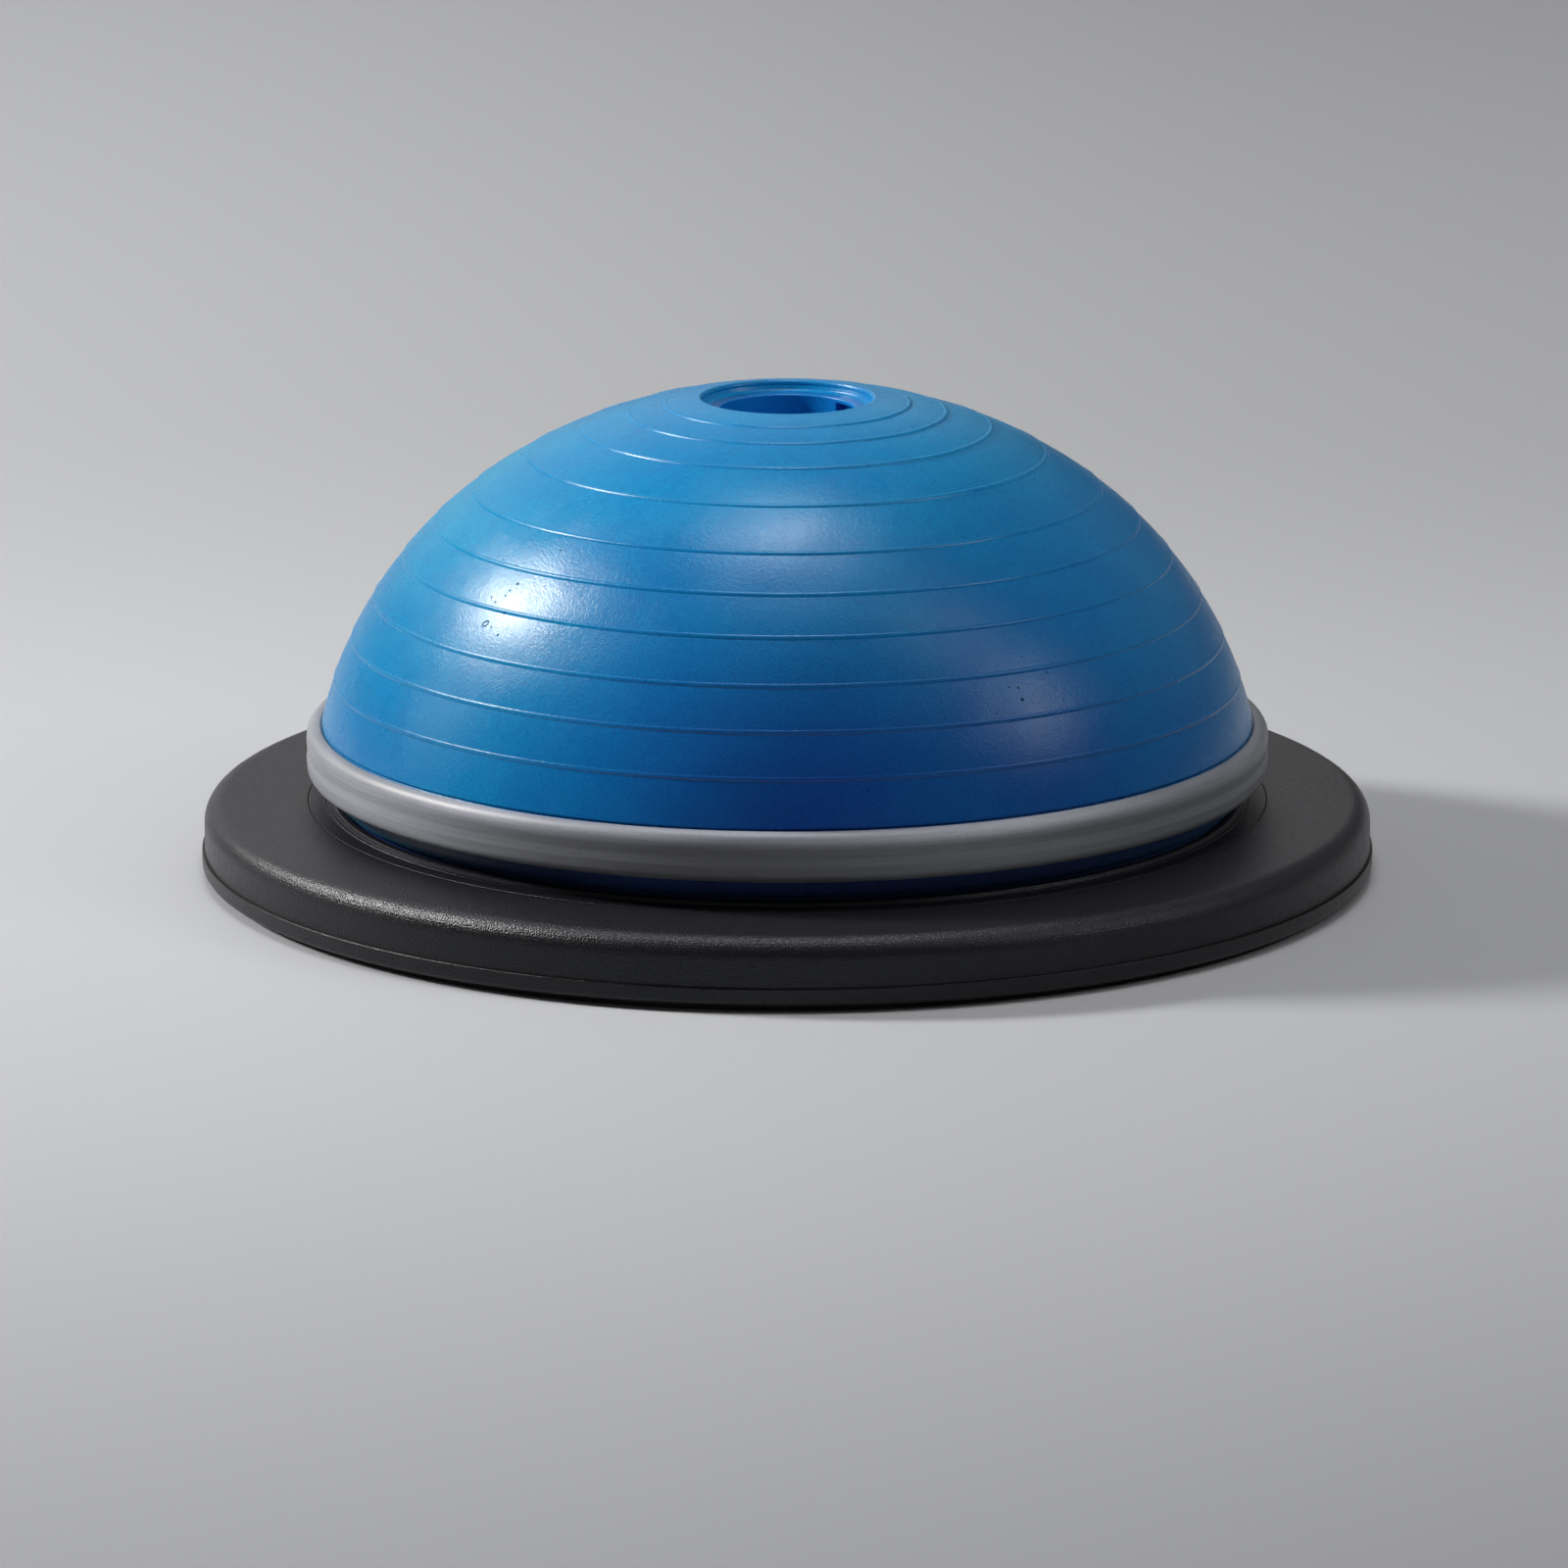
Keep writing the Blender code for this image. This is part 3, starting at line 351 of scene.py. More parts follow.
def combined(base, cutters, operation="DIFFERENCE"):
    """Mesh of base after each cutter mesh is taken from it or joined to it."""
    target = placed("target", base)
    helpers = []
    for number, cutter in enumerate(cutters):
        helper = placed(f"helper_{number}", cutter)
        helper.hide_render = True
        helpers.append(helper)
        modifier = target.modifiers.new(f"cut_{number}", "BOOLEAN")
        modifier.operation = operation
        modifier.solver = "EXACT"
        modifier.object = helper
    bpy.context.view_layer.update()
    graph = bpy.context.evaluated_depsgraph_get()
    result = bpy.data.meshes.new_from_object(target.evaluated_get(graph))
    for extra in [target, *helpers]:
        bpy.data.objects.remove(extra, do_unlink=True)
    return result


def upright_hole(x, y, radius, bottom, top, segments):
    """Cutter for a round hole."""
    outline = [(0.0, top), (radius, top), (radius, bottom), (0.0, bottom)]
    mesh = turned_mesh("hole", outline, segments)
    mesh.transform(Matrix.Translation((x, y, 0.0)))
    return mesh


def around(count, circle, first=0.0):
    turn = 2 * math.pi / count
    return [(circle * math.cos(first + turn * k), circle * math.sin(first + turn * k)) for k in range(count)]


# Materials
class Paint:
    """A Principled material and short ways to add and link its nodes."""

    def __init__(self, name, **settings):
        self.material = bpy.data.materials.new(name)
        self.material.use_nodes = True
        self.tree = self.material.node_tree
        self.shader = self.tree.nodes["Principled BSDF"]
        for key, value in settings.items():
            self.shader.inputs[key.replace("_", " ")].default_value = value
        self.place = self.node("ShaderNodeTexCoord").outputs["Object"]

    def node(self, kind, **settings):
        made = self.tree.nodes.new(kind)
        for key, value in settings.items():
            setattr(made, key, value)
        return made

    def link(self, output, target):
        self.tree.links.new(output, target)

    def put(self, value, socket):
        """Links an output to a socket, or sets the socket to a value."""
        if isinstance(value, bpy.types.NodeSocket):
            self.link(value, socket)
        else:
            socket.default_value = value

    def fill(self, node, **values):
        for key, value in values.items():
            self.put(value, node.inputs[key.replace("_", " ")])
        return node

    def scaled(self, scale, source=None):
        made = self.node("ShaderNodeMapping")
        return self.fill(made, Vector=source or self.place, Scale=scale).outputs["Vector"]

    def noise(self, scale, detail=2.0, roughness=0.5, distortion=0.0, source=None):
        made = self.node("ShaderNodeTexNoise")
        self.fill(made, Vector=source or self.place, Scale=scale, Detail=detail)
        return self.fill(made, Roughness=roughness, Distortion=distortion).outputs["Fac"]

    def cells(self, scale, smoothness):
        """Distance to the nearest centre of many small soft-edged cells."""
        made = self.node("ShaderNodeTexVoronoi", feature="SMOOTH_F1")
        return self.fill(made, Vector=self.place, Scale=scale, Smoothness=smoothness).outputs["Distance"]

    def along(self, axis):
        return self.fill(self.node("ShaderNodeSeparateXYZ"), Vector=self.place).outputs[axis]

    def distance(self, point, source=None):
        made = self.node("ShaderNodeVectorMath", operation="DISTANCE")
        self.link(source or self.place, made.inputs[0])
        made.inputs[1].default_value = point
        return made.outputs["Value"]

    def warped(self, amount, scale):
        """Places moved to and fro by a slow noise."""
        drift = self.fill(self.node("ShaderNodeTexNoise"), Vector=self.place, Scale=scale, Detail=2.0)
        made = self.node("ShaderNodeVectorMath", operation="MULTIPLY_ADD")
        self.link(drift.outputs["Color"], made.inputs[0])
        made.inputs[1].default_value = (amount, amount, amount)
        self.link(self.place, made.inputs[2])
        return made.outputs["Vector"]

    def leant(self, source, angle, axis):
        """Places turned about an axis through the origin."""
        made = self.node("ShaderNodeVectorRotate")
        self.fill(made, Vector=source, Axis=Vector(axis).normalized(), Angle=angle)
        return made.outputs["Vector"]

    def blend(self, share, first, second):
        made = self.node("ShaderNodeMix", data_type="FLOAT")
        for index, output in ((0, share), (2, first), (3, second)):
            self.link(output, made.inputs[index])
        return made.outputs[0]

    def sum(self, operation, first, second=None, third=None):
        """Result of a sum such as MULTIPLY. Each value is a number or an output."""
        made = self.node("ShaderNodeMath", operation=operation)
        for socket, value in zip(made.inputs, (first, second, third)):
            if value is not None:
                self.put(value, socket)
        return made.outputs["Value"]

    def between(self, value, low, high, start=0.0, end=1.0):
        """value from low..high becomes start..end, with soft ends."""
        made = self.node("ShaderNodeMapRange", interpolation_type="SMOOTHSTEP")
        self.fill(made, Value=value, From_Min=low, From_Max=high, To_Min=start, To_Max=end)
        return made.outputs["Result"]

    def mixed(self, share, first, second, mode="MIX"):
        """Colour between two, each a tuple or an output."""
        made = self.node("ShaderNodeMix", data_type="RGBA", blend_type=mode)
        for index, value in ((0, share), (6, first), (7, second)):
            self.put((*value, 1.0) if isinstance(value, tuple) else value, made.inputs[index])
        return made.outputs[2]

    def tinted(self, share, colour, tint):
        """Colour multiplied by a tint, by a share from 0 to 1."""
        return self.mixed(share, colour, tint, mode="MULTIPLY")

    def both(self, first, second):
        return self.sum("MULTIPLY", first, second)

    def crease(self, source, width):
        """Thin curved lines: 1 on a line, 0 away from it."""
        field = self.noise(1.0, 2.0, 0.5, 0.3, source)
        return self.between(self.sum("ABSOLUTE", self.sum("SUBTRACT", field, 0.5)), 0.0, width, 1.0, 0.0)

    def colour(self, output):
        self.link(output, self.shader.inputs["Base Color"])

    def rough(self, output):
        self.link(output, self.shader.inputs["Roughness"])

    def bump(self, height, distance, strength=1.0):
        made = self.node("ShaderNodeBump")
        self.fill(made, Strength=strength, Distance=distance, Height=height)
        self.link(made.outputs["Normal"], self.shader.inputs["Normal"])


# Marks on the dome: azimuth in degrees, height in metres and relative size
PITS = (
    (-139.13, 0.1959, 0.9), (-136.30, 0.1887, 1.0), (-137.02, 0.1851, 0.8), (-137.27, 0.1825, 0.8),
    (-139.82, 0.1801, 0.8), (-138.49, 0.1787, 0.9), (-132.16, 0.2064, 0.9), (-143.05, 0.1970, 0.7),
    (-141.76, 0.1964, 0.7), (-140.84, 0.1962, 0.6), (-136.64, 0.1675, 0.7), (-134.65, 0.1647, 0.9),
    (-58.21, 0.1453, 0.9), (-58.09, 0.1396, 1.2), (-59.57, 0.1461, 0.7), (-56.11, 0.1596, 0.7),
    (-52.93, 0.1504, 0.7), (-62.27, 0.1341, 0.8), (-65.22, 0.1570, 0.6), (-135.52, 0.1750, 1.0),
)
SCUFF_ENDS = ((-138.35, 0.1675), (-137.77, 0.1691))
SCUFF_REACH = 0.0043
HAIR_SCALE = (170.0, 170.0, 700.0)


def on_dome(azimuth, height):
    """Point of the dome's curve at an azimuth in degrees and a height."""
    radius = dome_point(angle_at_height(height))[0]
    turn = math.radians(azimuth)
    return radius * math.cos(turn), radius * math.sin(turn), height


def dome_marks(paint):
    """Small dark pits and the outline of a small oval scuff: (pits, scuff), each 0 to 1."""
    pits = None
    for azimuth, height, size in PITS:
        near = paint.between(paint.distance(on_dome(azimuth, height)), 0.0004 * size, 0.0010 * size, 1.0, 0.0)
        pits = near if pits is None else paint.sum("MAXIMUM", pits, near)
    reach = paint.sum("ADD", *(paint.distance(on_dome(*end)) for end in SCUFF_ENDS))
    off_line = paint.sum("ABSOLUTE", paint.sum("SUBTRACT", reach, SCUFF_REACH))
    return pits, paint.between(off_line, 0.0005, 0.0010, 1.0, 0.0)


def dome_hairs(paint):
    """Fine curved creases that lie in bundles, each bundle in its own direction."""
    facing = on_dome(-137.0, 0.17)
    bend = paint.warped(0.010, 14.0)
    fields = []
    for degrees, width in ((25.0, 0.14), (80.0, 0.14), (135.0, 0.12)):
        leant = paint.leant(bend, math.radians(degrees), facing)
        fields.append(paint.crease(paint.scaled(HAIR_SCALE, leant), width))
    share = paint.between(paint.noise(34.0, 2.0, 0.5), 0.40, 0.60)
    other = paint.between(paint.noise(26.0, 2.0, 0.5, source=bend), 0.44, 0.62)
    mixed = paint.blend(share, fields[0], fields[1])
    return paint.blend(other, mixed, fields[2])


def vinyl_tone_with_painted_light(paint, height, across):
    """Painted light and shade: deep blue low down, brighter at the top and left, duller at the far right;
    clouded and dusty as well.
    """
    # Painted light and shade on the lower tone: darkest in front, a little greener to the right, much paler
    # and greener to the left.
    low = paint.mixed(paint.between(across, 0.01, 0.10), (0.002, 0.047, 0.280), (0.002, 0.067, 0.285))
    low = paint.mixed(paint.between(across, 0.02, -0.12), low, (0.001, 0.128, 0.425))
    # Painted light: brighter towards the top.
    tone = paint.mixed(paint.between(height, 0.09, 0.262), low, (0.002, 0.240, 0.585))
    # Painted light and shade: a duller, greyer blue at the far right.
    tone = paint.mixed(paint.between(across, 0.13, 0.25, 0.0, 0.55), tone, (0.006, 0.160, 0.400))
    clouds = paint.noise(9.0, 5.0, 0.62, 0.3)
    specks = paint.noise(240.0, 3.0, 0.6)
    dust = paint.noise(1100.0, 2.0, 0.6)
    tone = paint.tinted(paint.between(clouds, 0.32, 0.70), tone, (1.0, 1.26, 1.10))
    tone = paint.mixed(paint.between(specks, 0.35, 0.75, 0.0, 0.16), tone, (0.001, 0.090, 0.360))
    tone = paint.tinted(paint.between(dust, 0.35, 0.70), tone, (1.6, 1.45, 1.22))
    return paint.tinted(1.0, tone, (0.85, 0.85, 0.92))


def painted_light_and_shade_of_port_and_roll(paint, tone, height, across):
    """Painted shade on the port's recessed shelf, painted light in the bore and on the dome's left side, and
    painted shade on the roll below the band.
    """
    out = paint.distance((0.0, 0.0, 0.0), paint.scaled((1.0, 1.0, 0.0)))
    shelf = paint.both(paint.between(out, 0.0420, 0.0430, 1.0, 0.0), paint.between(height, 0.2600, 0.2590))
    well = paint.between(out, 0.0372, 0.0382, 1.0, 0.0)
    # Painted shade on the shelf; painted light in the bore, paler and redder.
    tone = paint.tinted(shelf, tone, (0.65, 0.60, 0.80))
    tone = paint.tinted(well, tone, (4.0, 1.55, 1.35))
    # Painted light: greener and paler on the left side.
    tone = paint.tinted(paint.between(across, -0.05, -0.20), tone, (1.0, 1.35, 1.04))
    # Painted shade: the roll below the band turns dark.
    tone = paint.mixed(paint.between(height, 0.050, 0.066, 0.85, 0.0), tone, (0.034, 0.056, 0.175))
    # Painted shade: darker still below the band on the left.
    painted_shade_below_band = paint.both(paint.between(height, 0.052, 0.060, 1.0, 0.0), paint.between(across, -0.06, -0.16))
    return paint.tinted(painted_shade_below_band, tone, (0.42, 0.36, 0.42))


def blue_vinyl():
    """Soft moulded vinyl: fine hair-like creases, cloudy depth, pits and a small oval scuff."""
    paint = Paint(
        "blue_vinyl", Specular_IOR_Level=0.32,
        Sheen_Weight=0.07, Sheen_Roughness=0.4, Sheen_Tint=(0.0, 0.70, 0.85, 1.0),
    )
    height, across = paint.along("Z"), paint.along("X")
    tone = painted_light_and_shade_of_port_and_roll(paint, vinyl_tone_with_painted_light(paint, height, across), height, across)
    pits, scuff = dome_marks(paint)
    tone = paint.mixed(paint.both(pits, 0.9), tone, (0.004, 0.016, 0.034))
    paint.colour(paint.mixed(paint.both(scuff, 0.9), tone, (0.002, 0.080, 0.200)))
    relief = paint.both(dome_hairs(paint), -0.30)
    for field, weight in (
        (paint.noise(900.0, 3.0, 0.6), 0.70), (paint.noise(60.0, 3.0, 0.5), 1.2), (pits, -3.0), (scuff, -1.5),
    ):
        relief = paint.sum("MULTIPLY_ADD", field, weight, relief)
    paint.bump(relief, 0.00011)
    gloss = paint.between(paint.noise(28.0, 4.0, 0.6), 0.3, 0.7, 0.26, 0.32)
    paint.rough(paint.sum("MULTIPLY_ADD", paint.sum("MAXIMUM", pits, scuff), 0.3, gloss))
    return paint.material


def grey_rubber():
    """Satin rubber with faint streaks along its length. Painted light makes it paler along its upper edge and
    at its left end; painted shade darkens its front and right side.
    """
    paint = Paint("grey_rubber", Specular_IOR_Level=0.70)
    height, across = paint.along("Z"), paint.along("X")
    streaks = paint.noise(1.0, 4.0, 0.65, source=paint.scaled((16.0, 16.0, 520.0)))
    broad = paint.noise(1.0, 2.0, 0.5, source=paint.scaled((5.0, 5.0, 90.0)))
    specks = paint.noise(850.0, 2.0, 0.6)
    tone = paint.mixed(paint.between(streaks, 0.3, 0.7), (0.205, 0.215, 0.234), (0.275, 0.288, 0.310))
    tone = paint.mixed(paint.between(broad, 0.35, 0.7, 0.0, 0.35), tone, (0.320, 0.332, 0.355))
    tone = paint.mixed(paint.between(specks, 0.35, 0.70, 0.0, 0.30), tone, (0.150, 0.156, 0.170))
    # Painted light and shade: darker across the front, paler again at the far left end.
    tone = paint.tinted(paint.between(across, 0.15, -0.02), tone, (0.63, 0.62, 0.64))
    tone = paint.tinted(paint.between(across, -0.12, -0.24), tone, (2.0, 2.0, 1.96))
    # Painted highlight along the upper edge, except at the far left, weaker to the right.
    painted_crest_light = paint.both(paint.between(height, 0.0735, 0.0775), paint.between(across, -0.24, -0.12))
    painted_crest_light = paint.both(painted_crest_light, paint.between(across, 0.14, 0.24, 1.0, 0.45))
    tone = paint.tinted(painted_crest_light, tone, (2.1, 2.1, 2.15))
    # Painted shade: darker on the right side.
    paint.colour(paint.tinted(paint.between(across, 0.05, 0.22), tone, (0.61, 0.61, 0.62)))
    paint.bump(paint.sum("MULTIPLY_ADD", paint.noise(620.0, 3.0, 0.65), 1.1, streaks), 0.00010, 0.8)
    paint.rough(paint.between(streaks, 0.3, 0.7, 0.45, 0.54))
    return paint.material


def black_plastic():
    """Moulded plastic with a fine pebbled grain; painted light makes it paler on its level top than on its
    sides.
    """
    paint = Paint("black_plastic", Specular_IOR_Level=0.42, Specular_Tint=(0.89, 0.93, 1.0, 1.0))
    pebbles = paint.cells(1050.0, 0.35)
    pores = paint.noise(2300.0, 2.0, 0.6)
    clouds = paint.noise(11.0, 4.0, 0.6)
    tone = paint.mixed(paint.between(clouds, 0.35, 0.7), (0.0028, 0.0025, 0.0031), (0.0044, 0.0040, 0.0048))
    tone = paint.mixed(paint.between(pebbles, 0.1, 0.6, 0.0, 0.35), tone, (0.008, 0.0075, 0.0085))
    # Painted light: a paler tone on the level top.
    painted_top_light = paint.between(paint.along("Z"), 0.0290, 0.0375, 0.0, 0.7)
    paint.colour(paint.mixed(painted_top_light, tone, (0.022, 0.0195, 0.025)))
    paint.bump(paint.sum("MULTIPLY_ADD", pores, 0.35, paint.both(pebbles, -1.0)), 0.00023)
    paint.rough(paint.between(paint.noise(300.0, 3.0, 0.6), 0.3, 0.7, 0.295, 0.370))
    return paint.material


def clouded(paint, clouds, dark, light, grain, depth, strength, matt, low, high):
    """Two close tones in clouds, a fine grain and an uneven gloss from low to high roughness."""
    paint.colour(paint.mixed(paint.between(clouds, 0.3, 0.7), dark, light))
    paint.bump(grain, depth, strength)
    paint.rough(paint.between(paint.noise(matt, 3.0), 0.3, 0.7, low, high))
    return paint.material


def black_rubber():
    paint = Paint("black_rubber", Specular_IOR_Level=0.35)
    grain = paint.noise(900.0, 3.0, 0.6)
    dark, light = (0.006, 0.006, 0.006), (0.014, 0.014, 0.014)
    return clouded(paint, grain, dark, light, grain, 0.00010, 0.5, 60.0, 0.66, 0.84)


def blue_plastic():
    paint = Paint("blue_plastic")
    clouds, grain = paint.noise(70.0, 3.0, 0.6), paint.noise(1200.0, 2.0, 0.6)
    dark, light = (0.006, 0.105, 0.330), (0.009, 0.135, 0.390)
    return clouded(paint, clouds, dark, light, grain, 0.00003, 0.5, 160.0, 0.27, 0.38)


def dark_plastic():
    paint = Paint("dark_plastic")
    clouds, grain = paint.noise(80.0, 3.0, 0.6), paint.noise(1100.0, 2.0, 0.6)
    dark, light = (0.022, 0.023, 0.026), (0.034, 0.036, 0.041)
    return clouded(paint, clouds, dark, light, grain, 0.00004, 0.5, 160.0, 0.32, 0.45)


def bright_steel():
    paint = Paint("bright_steel", Metallic=1.0)
    clouds, grain = paint.noise(120.0, 4.0, 0.6), paint.noise(1800.0, 2.0, 0.6)
    dark, light = (0.48, 0.48, 0.49), (0.60, 0.60, 0.61)
    return clouded(paint, clouds, dark, light, grain, 0.00002, 0.4, 300.0, 0.24, 0.40)


VINYL, RUBBER, PLASTIC = blue_vinyl(), grey_rubber(), black_plastic()
FOOT, CAP_BLUE, VALVE_DARK, STEEL = black_rubber(), blue_plastic(), dark_plastic(), bright_steel()
BY_SLOT = {
    "blue_vinyl": VINYL, "grey_rubber": RUBBER, "black_plastic": PLASTIC, "black_rubber": FOOT,
    "blue_plastic": CAP_BLUE, "dark_plastic": VALVE_DARK, "bright_steel": STEEL,
}
for row in frame["record"]["subparts"]:
    cad = frame["nodes"].get(row["node"])
    if cad is not None and row.get("material_slot") in BY_SLOT:
        if not cad.material_slots:
            cad.data.materials.append(None)
        for holder in cad.material_slots:
            holder.material = BY_SLOT[row["material_slot"]]


# Bladder
def rib_places(lengths, angles):
    """How far down the dome's curve each rib lies."""
    return [float(np.interp(-math.radians(degrees), -angles, lengths)) for degrees in RIB_ANGLES]


def outline_places(ribs, edges):
    """Places along the curve that the outline takes: close at the ribs and wider apart in the bays."""
    places = {0.0, 0.0004, 0.0012, edges[-1]}
    for rib in ribs:
        for step in range(-RIB_STEPS, RIB_STEPS + 1):
            places.add(rib + RIB_HALF * math.sin(math.pi * step / (2 * RIB_STEPS)))
        for beside in (0.0016, 0.0019, 0.0026):
            places.update((rib - beside, rib + beside))
    for low, high in zip(edges, edges[1:]):
        count = max(4, round((high - low) / BAY_SPACING))
        for step in range(1, count):
            place = low + (high - low) * step / count
            if place - low > RIB_CLEARANCE and high - place > RIB_CLEARANCE:
                places.add(place)
    return sorted(places)


def dome_outer():
    """The ringed outer curve: each bay flares to its lower end, ends in a bead and steps in."""
    top, bottom = angle_at_radius(PORT_RADIUS), angle_at_height(BAND_TOP + 0.0012)
    angles = np.linspace(top, bottom, CURVE_SAMPLES)
    curve = np.array([dome_point(a) for a in angles])
    lengths = np.concatenate([[0.0], np.cumsum(np.linalg.norm(np.diff(curve, axis=0), axis=1))])
    ribs = rib_places(lengths, angles)
    edges = [0.0, *ribs, float(lengths[-1])]
    outline = []
    for place in outline_places(ribs, edges):
        index = sum(place > rib for rib in ribs)
        low, high = edges[index], edges[index + 1]
        share = (place - low) / (high - low)
        first = 0.0 if index == 0 else -STEP
        last = 0.0 if index == len(ribs) else SWELL
        offset = first + (last - first) * share + BULGE * 4 * share * (1 - share)
        nearest = min(ribs, key=lambda rib: abs(rib - place))
        along = (place - nearest) / RIB_HALF
        if abs(along) < 1:
            ground = SWELL + (-STEP - SWELL) * (along + 1) / 2
            offset = ground + RIB_RISE * (1 - along * along)
        outline.append(dome_point(float(np.interp(place, lengths, angles)), offset))
    return outline


# Waves of the dome's surface: height, count round the dome, slope and phase
WAVES = (
    (0.00012, 2, 31, 0.4), (0.00009, 5, -47, 1.9), (0.00006, 9, 90, 0.8), (0.00004, 17, -140, 2.2),
)


def uneven(points):
    """Slight unevenness of a blown vinyl shell: broad waves of a fraction of a millimetre."""
    x, y, z = points[:, 0], points[:, 1], points[:, 2]
    turn = np.arctan2(y, x)
    wave = 0.0
    for height, round_count, slope, phase in WAVES:
        wave = wave + height * np.sin(round_count * turn + slope * z + phase)
    fade = np.clip((z - 0.088) / 0.02, 0, 1) * np.clip((np.hypot(x, y) - 0.052) / 0.02, 0, 1)
    outward = np.stack([x, y, np.clip(z - 0.02, 0.01, None)], 1)
    outward /= np.linalg.norm(outward, axis=1, keepdims=True)
    return points + outward * (wave * fade)[:, None]


def dome_lip():
    """Lip that laps over the port's edge, so that their seam lies in the port's shade."""
    seam, lip = PORT_RADIUS - 0.0002, PORT_RADIUS - GAP - PORT_LIP
    outline = [
        (seam, RIM_HEIGHT - WALL + 0.0004), (seam, RIM_HEIGHT - 0.0016),
        (lip + 0.0004, RIM_HEIGHT - 0.0030), (lip + 0.0001, RIM_HEIGHT - 0.0031),
    ]
    for step in range(13):
        angle = math.pi - math.radians(98) * step / 12
        across, up = PORT_LIP * math.cos(angle), 0.0022 * math.sin(angle)
        outline.append((lip + PORT_LIP + across, RIM_HEIGHT - 0.0020 + up))
    return outline


def dome_channel():
    """Channel beside the band, with a small welded bead."""
    outline = [(BAND_SEAT + 0.0016, BAND_TOP + 0.0005), (BAND_SEAT + 0.0010, BAND_TOP)]
    for step in range(9):
        angle = math.radians(80 - 20 * step)
        across, up = 0.0012 * math.cos(angle), 0.0011 * math.sin(angle)
        outline.append((BAND_SEAT + 0.0006 + across, BAND_TOP - 0.0011 + up))
    return outline + [(BAND_SEAT + 0.00045, BAND_TOP - 0.0030), (BAND_SEAT, BAND_TOP - 0.0045)]


def dome_roll(top, bottom):
    """Quarter round that rolls the bladder in under the band."""
    outline = [(BAND_SEAT, top + 0.001)]
    steps = 28
    for step in range(steps + 1):
        angle = -math.pi / 2 * step / steps
        outline.append((
            NECK_RADIUS + (BAND_SEAT - NECK_RADIUS) * math.cos(angle),
            top + (top - bottom) * math.sin(angle),
        ))
    return outline


def make_dome():
    roll_top, roll_bottom = BAND_BOTTOM + GAP, PLATFORM_HEIGHT + 0.0035
    outline = dome_lip() + dome_outer()[2:] + dome_channel() + dome_roll(roll_top, roll_bottom)
    outline += [(NECK_RADIUS, roll_bottom - 0.0004), (NECK_RADIUS, FLANGE_TOP), (FLANGE_RADIUS, FLANGE_TOP)]
    outline += [(FLANGE_RADIUS, DECK_TOP + GAP), (NECK_RADIUS - NECK_WALL, DECK_TOP + GAP)]
    outline += [(NECK_RADIUS - NECK_WALL, roll_bottom + NECK_WALL)]
    outline += [(BAND_SEAT - NECK_WALL, roll_top + NECK_WALL / 2), (BAND_SEAT - NECK_WALL, BAND_TOP)]
    low, high = angle_at_height(BAND_TOP + 0.0080), angle_at_radius(PORT_FLANGE_RADIUS)
    for step in range(25):
        outline.append(dome_point(low + (high - low) * step / 24, -WALL))
    outline.append((PORT_RADIUS - 0.0002, dome_point(angle_at_radius(PORT_RADIUS), -WALL)[1]))
    dome = turned("dome_skin", outline, ROUND, VINYL, None, ("dome_bladder",), shape=uneven)
    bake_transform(dome)


def make_bladder_floor():
    radius = NECK_RADIUS - NECK_WALL - GAP
    bottom = DECK_TOP + GAP
    top = bottom + FLOOR_SHEET
    outline = [(0.0, top), *rounded([
        (radius - 0.02, top), (radius, top, 0.0005), (radius, bottom, 0.0005), (radius - 0.02, bottom),
    ], closed=False), (0.0, bottom)]
    turned("bladder_sheet", outline, PORT_ROUND, VINYL, "trainer", ("bladder_floor",))


# Band
def make_band():
    inner = BAND_SEAT + GAP
    outer = inner + BAND_THICKNESS
    middle = (BAND_BOTTOM + BAND_TOP) / 2
    corners = [
        (inner + 0.0018, BAND_TOP - 0.0008, 0.0005),
        (inner + 0.0030, BAND_TOP, 0.0010),
        (outer - 0.0004, BAND_TOP, 0.0058),
        (outer, middle + 0.0050, 0.0050),
        (outer - 0.0005, middle + 0.0002, 0.0040),
        (outer, middle - 0.0046, 0.0050),
        (outer - 0.0006, BAND_BOTTOM, 0.0046),
        (inner + 0.0006, BAND_BOTTOM, 0.0005),
        (inner, BAND_BOTTOM + 0.0010, 0.0005),
        (inner, BAND_TOP - 0.0060, 0.0010),
    ]
    turned("band", rounded(corners), ROUND, RUBBER, "trainer", ("grey_band",))


# Platform
def make_platform_top():
    inner_radius, roof = PLATFORM_RADIUS - SHELL_WALL, PLATFORM_HEIGHT - SHELL_WALL
    recess_wall = RECESS_RADIUS + SHELL_WALL
    outline = rounded([
        (0.0, DECK_TOP), (RECESS_RADIUS, DECK_TOP, 0.0004), (RECESS_RADIUS, PLATFORM_HEIGHT, 0.0003),
        (PLATFORM_RADIUS, PLATFORM_HEIGHT, EDGE_ROUNDING), (PLATFORM_RADIUS, LIP_TOP),
        (inner_radius, LIP_TOP), (inner_radius, roof, 0.0060),
        (recess_wall, roof, 0.0010), (recess_wall, DECK_BOTTOM, 0.0010), (0.0, DECK_BOTTOM),
    ], closed=False)
    turned("platform_shell", outline, ROUND, PLASTIC, "trainer", ("platform_top",))


